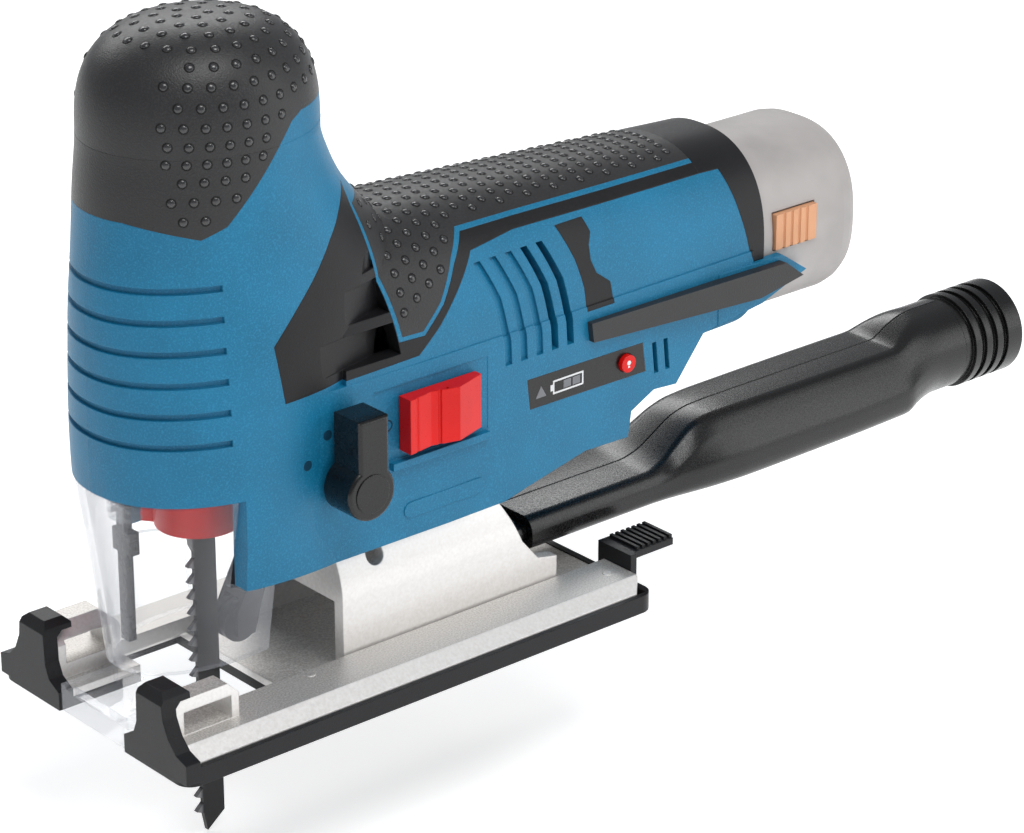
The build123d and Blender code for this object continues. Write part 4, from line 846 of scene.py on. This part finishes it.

# %% [markdown]
# ## Domes on the rubber grips
#
# The soft grips are covered with small domes in staggered rows, which stop a hand from sliding.
# Each dome sits on a flat disc of darker rubber, a painted shadow round its foot. They repeat
# hundreds of times, so they are instances of one little lathe shape. First the seats are found:
# rows of rays are shot at the grip from outside, and a seat is kept where the rays round it also
# meet the grip, which leaves a plain border. Then a Geometry Nodes tree puts a dome on every seat,
# turned to face outwards, makes the instances real and gives them the rubber.


# %% Seats for the domes
GLANCING = -0.3          # rays that meet the skin flatter than this leave no seat
RAY_START = 0.1          # how far out the rays begin


def seats_on(node, rays, border):
    """Points and normals where rays meet a node at least border inside its edge."""
    skin = skin_of(node)
    found = []
    for origin, aim in rays:
        place, normal, _, reach = skin.ray_cast(origin, aim)
        if place is None or normal.dot(aim) > GLANCING:
            continue
        side = aim.orthogonal().normalized() * border
        ring = [Matrix.Rotation(math.radians(60 * k), 3, aim) @ side for k in range(6)]
        around = [skin.ray_cast(origin + step, aim) for step in ring]
        if all(hit[0] is not None and abs(hit[3] - reach) < 2.0 * border for hit in around):
            found.append((place, normal))
    return found


def seat_mesh(name, seats):
    """A mesh of loose points that carries each seat's normal as the attribute facing."""
    mesh = bpy.data.meshes.new(name)
    mesh.from_pydata([tuple(place) for place, _ in seats], [], [])
    facing = mesh.attributes.new("facing", "FLOAT_VECTOR", "POINT")
    for i, (_, normal) in enumerate(seats):
        facing.data[i].vector = normal
    return mesh


GRIP_PITCH = 5.0 * MM
GRIP_ROW = 4.3 * MM
BORDER = 2.2 * MM

cap_low, cap_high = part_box("head_grip")
head_x = (cap_low.x + cap_high.x) / 2
head_half_x = (cap_high.x - cap_low.x) / 2
head_half_y = (cap_high.y - cap_low.y) / 2
dome_z = cap_high.z - head_half_x
rays = []
row = 0
z = cap_low.z
while z < dome_z:
    count = round(2 * math.pi * (head_half_x + head_half_y) / 2 / GRIP_PITCH)
    for i in range(count):
        t = 2 * math.pi * (i + 0.5 * (row % 2)) / count
        out = Vector((math.cos(t), math.sin(t), 0))
        rays.append((Vector((head_x, 0, z)) + out * RAY_START, -out))
    z += GRIP_ROW
    row += 1
lift = (z - dome_z) / head_half_x
while lift < math.pi / 2:
    count = max(1, round(2 * math.pi * head_half_x * math.cos(lift) / GRIP_PITCH))
    for i in range(count):
        t = 2 * math.pi * (i + 0.5 * (row % 2)) / count
        out = Vector((math.cos(t) * math.cos(lift), math.sin(t) * math.cos(lift), math.sin(lift)))
        rays.append((Vector((head_x, 0, dome_z)) + out * RAY_START, -out))
    lift += GRIP_ROW / head_half_x
    row += 1
PLAIN_FRONT = math.cos(math.radians(38))     # the front of the cap has no domes
rays = [r for r in rays if -r[1].x > -PLAIN_FRONT * math.hypot(r[1].x, r[1].y) or r[1].z < -0.75]
cap_seats = seats_on("head_grip", rays, BORDER)

sleeve_low, sleeve_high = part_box("barrel_grip")
barrel_half = (sleeve_high.y - sleeve_low.y) / 2
rays = []
row = 0
x = sleeve_low.x
while x < sleeve_high.x:
    count = round(math.pi * barrel_half / GRIP_PITCH)
    for i in range(count + 1):
        t = math.pi * (i + 0.5 * (row % 2)) / count
        out = Vector((0, -math.cos(t), math.sin(t)))
        rays.append((Vector((x, 0, sleeve_high.z - barrel_half)) + out * RAY_START, -out))
    x += GRIP_ROW
    row += 1
sleeve_seats = seats_on("barrel_grip", rays, BORDER)
print("dome seats on the cap:", len(cap_seats), "on the sleeve:", len(sleeve_seats))


# %% [markdown]
# ## One tree for everything that sits on seats
#
# The tree takes loose points that carry the direction their stud faces. Its inputs are the stud, its
# size and its finish, so the same tree makes domes, the dark discs that paint a shadow round them,
# and rivets.


# %% A tree that puts a stud on every seat
def lathe(name, profile, sides):
    """A closed turned shape about Z: profile runs from its rim to its top on the axis."""
    shape = bmesh.new()
    rings = []
    for radius, height in profile[:-1]:
        turns = [2 * math.pi * i / sides for i in range(sides)]
        rings.append([shape.verts.new((radius * math.cos(t), radius * math.sin(t), height))
                      for t in turns])
    tip = shape.verts.new((0, 0, profile[-1][1]))
    for inner, outer in zip(rings[1:], rings):
        for i in range(sides):
            j = (i + 1) % sides
            shape.faces.new([outer[i], outer[j], inner[j], inner[i]])
    for i in range(sides):
        shape.faces.new([rings[-1][i], rings[-1][(i + 1) % sides], tip])
    shape.faces.new(list(reversed(rings[0])))
    for face in shape.faces:
        face.smooth = True
    return mesh_of(name, shape)


def seat_tree(name):
    """Geometry Nodes: an instance of Stud on each point, turned to facing, scaled by Size."""
    tree = bpy.data.node_groups.new(name, "GeometryNodeTree")
    for label, kind, way in (("Geometry", "NodeSocketGeometry", "INPUT"),
                             ("Stud", "NodeSocketObject", "INPUT"),
                             ("Size", "NodeSocketFloat", "INPUT"),
                             ("Finish", "NodeSocketMaterial", "INPUT"),
                             ("Geometry", "NodeSocketGeometry", "OUTPUT")):
        tree.interface.new_socket(label, in_out=way, socket_type=kind)
    start = tree.nodes.new("NodeGroupInput")
    end = tree.nodes.new("NodeGroupOutput")
    facing = tree.nodes.new("GeometryNodeInputNamedAttribute")
    facing.data_type = "FLOAT_VECTOR"
    facing.inputs["Name"].default_value = "facing"
    align = tree.nodes.new("FunctionNodeAlignRotationToVector")
    align.axis = "Z"
    info = tree.nodes.new("GeometryNodeObjectInfo")
    place = tree.nodes.new("GeometryNodeInstanceOnPoints")
    real = tree.nodes.new("GeometryNodeRealizeInstances")
    finish = tree.nodes.new("GeometryNodeSetMaterial")
    link = tree.links.new
    link(start.outputs["Stud"], info.inputs["Object"])
    link(facing.outputs["Attribute"], align.inputs["Vector"])
    link(start.outputs["Geometry"], place.inputs["Points"])
    link(info.outputs["Geometry"], place.inputs["Instance"])
    link(align.outputs["Rotation"], place.inputs["Rotation"])
    link(start.outputs["Size"], place.inputs["Scale"])
    link(place.outputs["Instances"], real.inputs["Geometry"])
    link(real.outputs["Geometry"], finish.inputs["Geometry"])
    link(start.outputs["Finish"], finish.inputs["Material"])
    link(finish.outputs["Geometry"], end.inputs["Geometry"])
    return tree


def stud_piece(name, seats, stud_mesh, size, material, body):
    """Runs the tree on the seats and bakes the result into one plain mesh piece."""
    holder = bpy.data.objects.new(name + "_seats", seat_mesh(name + "_seats", seats))
    stud = bpy.data.objects.new(name + "_stud", stud_mesh)
    bpy.context.scene.collection.objects.link(holder)
    bpy.context.scene.collection.objects.link(stud)
    modifier = holder.modifiers.new("studs", "NODES")
    modifier.node_group = SEAT_TREE
    named = {s.name: s.identifier for s in SEAT_TREE.interface.items_tree if s.in_out == "INPUT"}
    modifier[named["Stud"]] = stud
    modifier[named["Size"]] = size
    modifier[named["Finish"]] = material
    bpy.context.view_layer.update()
    evaluated = holder.evaluated_get(bpy.context.evaluated_depsgraph_get())
    mesh = bpy.data.meshes.new_from_object(evaluated)
    mesh.name = name
    holder.modifiers.remove(modifier)
    bpy.data.objects.remove(holder)
    bpy.data.objects.remove(stud)
    piece_of(name, mesh, body)
    print(name, "studs:", len(seats), "faces:", len(mesh.polygons))


SEAT_TREE = seat_tree("studs_on_seats")
DOME_PROFILE = [(0.96, -0.15), (0.92, 0.04), (0.76, 0.22), (0.42, 0.35), (0.0, 0.39)]
# a flat disc under each dome, in the painted-shadow rubber
RING_PROFILE = [(1.22, -0.15), (1.20, 0.02), (1.00, 0.03), (0.0, 0.03)]
for part, seats in (("cap", cap_seats), ("sleeve", sleeve_seats)):
    stud_piece(part + "_domes", seats, lathe(part + "_dome", DOME_PROFILE, 12), MM, dome_rubber,
               "housing")
    stud_piece(part + "_dome_rings", seats, lathe(part + "_ring", RING_PROFILE, 12), MM,
               dome_shadow_rubber, "housing")

# %% [markdown]
# ## Rivets on the plate
#
# Small round rivet ends lie in the raised wings, where the arch and the fence loops are held. They
# use the same tree, with the seats found by dropping points on the plate from above.

# %% Rivets on the plate
plate_low, plate_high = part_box("base_plate")
plate_skin = skin_of("base_plate")
rivet_seats = []
for x, inset in ((-34.0, 13.0), (43.4, 22.0), (54.0, 8.5)):
    for side in (-1, 1):
        y = side * (plate_high.y - inset * MM)
        rivet_seats.append((drop(plate_skin, Vector((x * MM, y, 0)), FROM_TOP),
                            Vector((0, 0, 1))))
RIVET_PROFILE = [(1.30, -0.12), (1.30, 0.06), (1.02, 0.12), (0.86, 0.02), (0.0, 0.03)]
stud_piece("plate_rivets", rivet_seats, lathe("rivet", RIVET_PROFILE, 16), MM, plate_metal,
           "base")
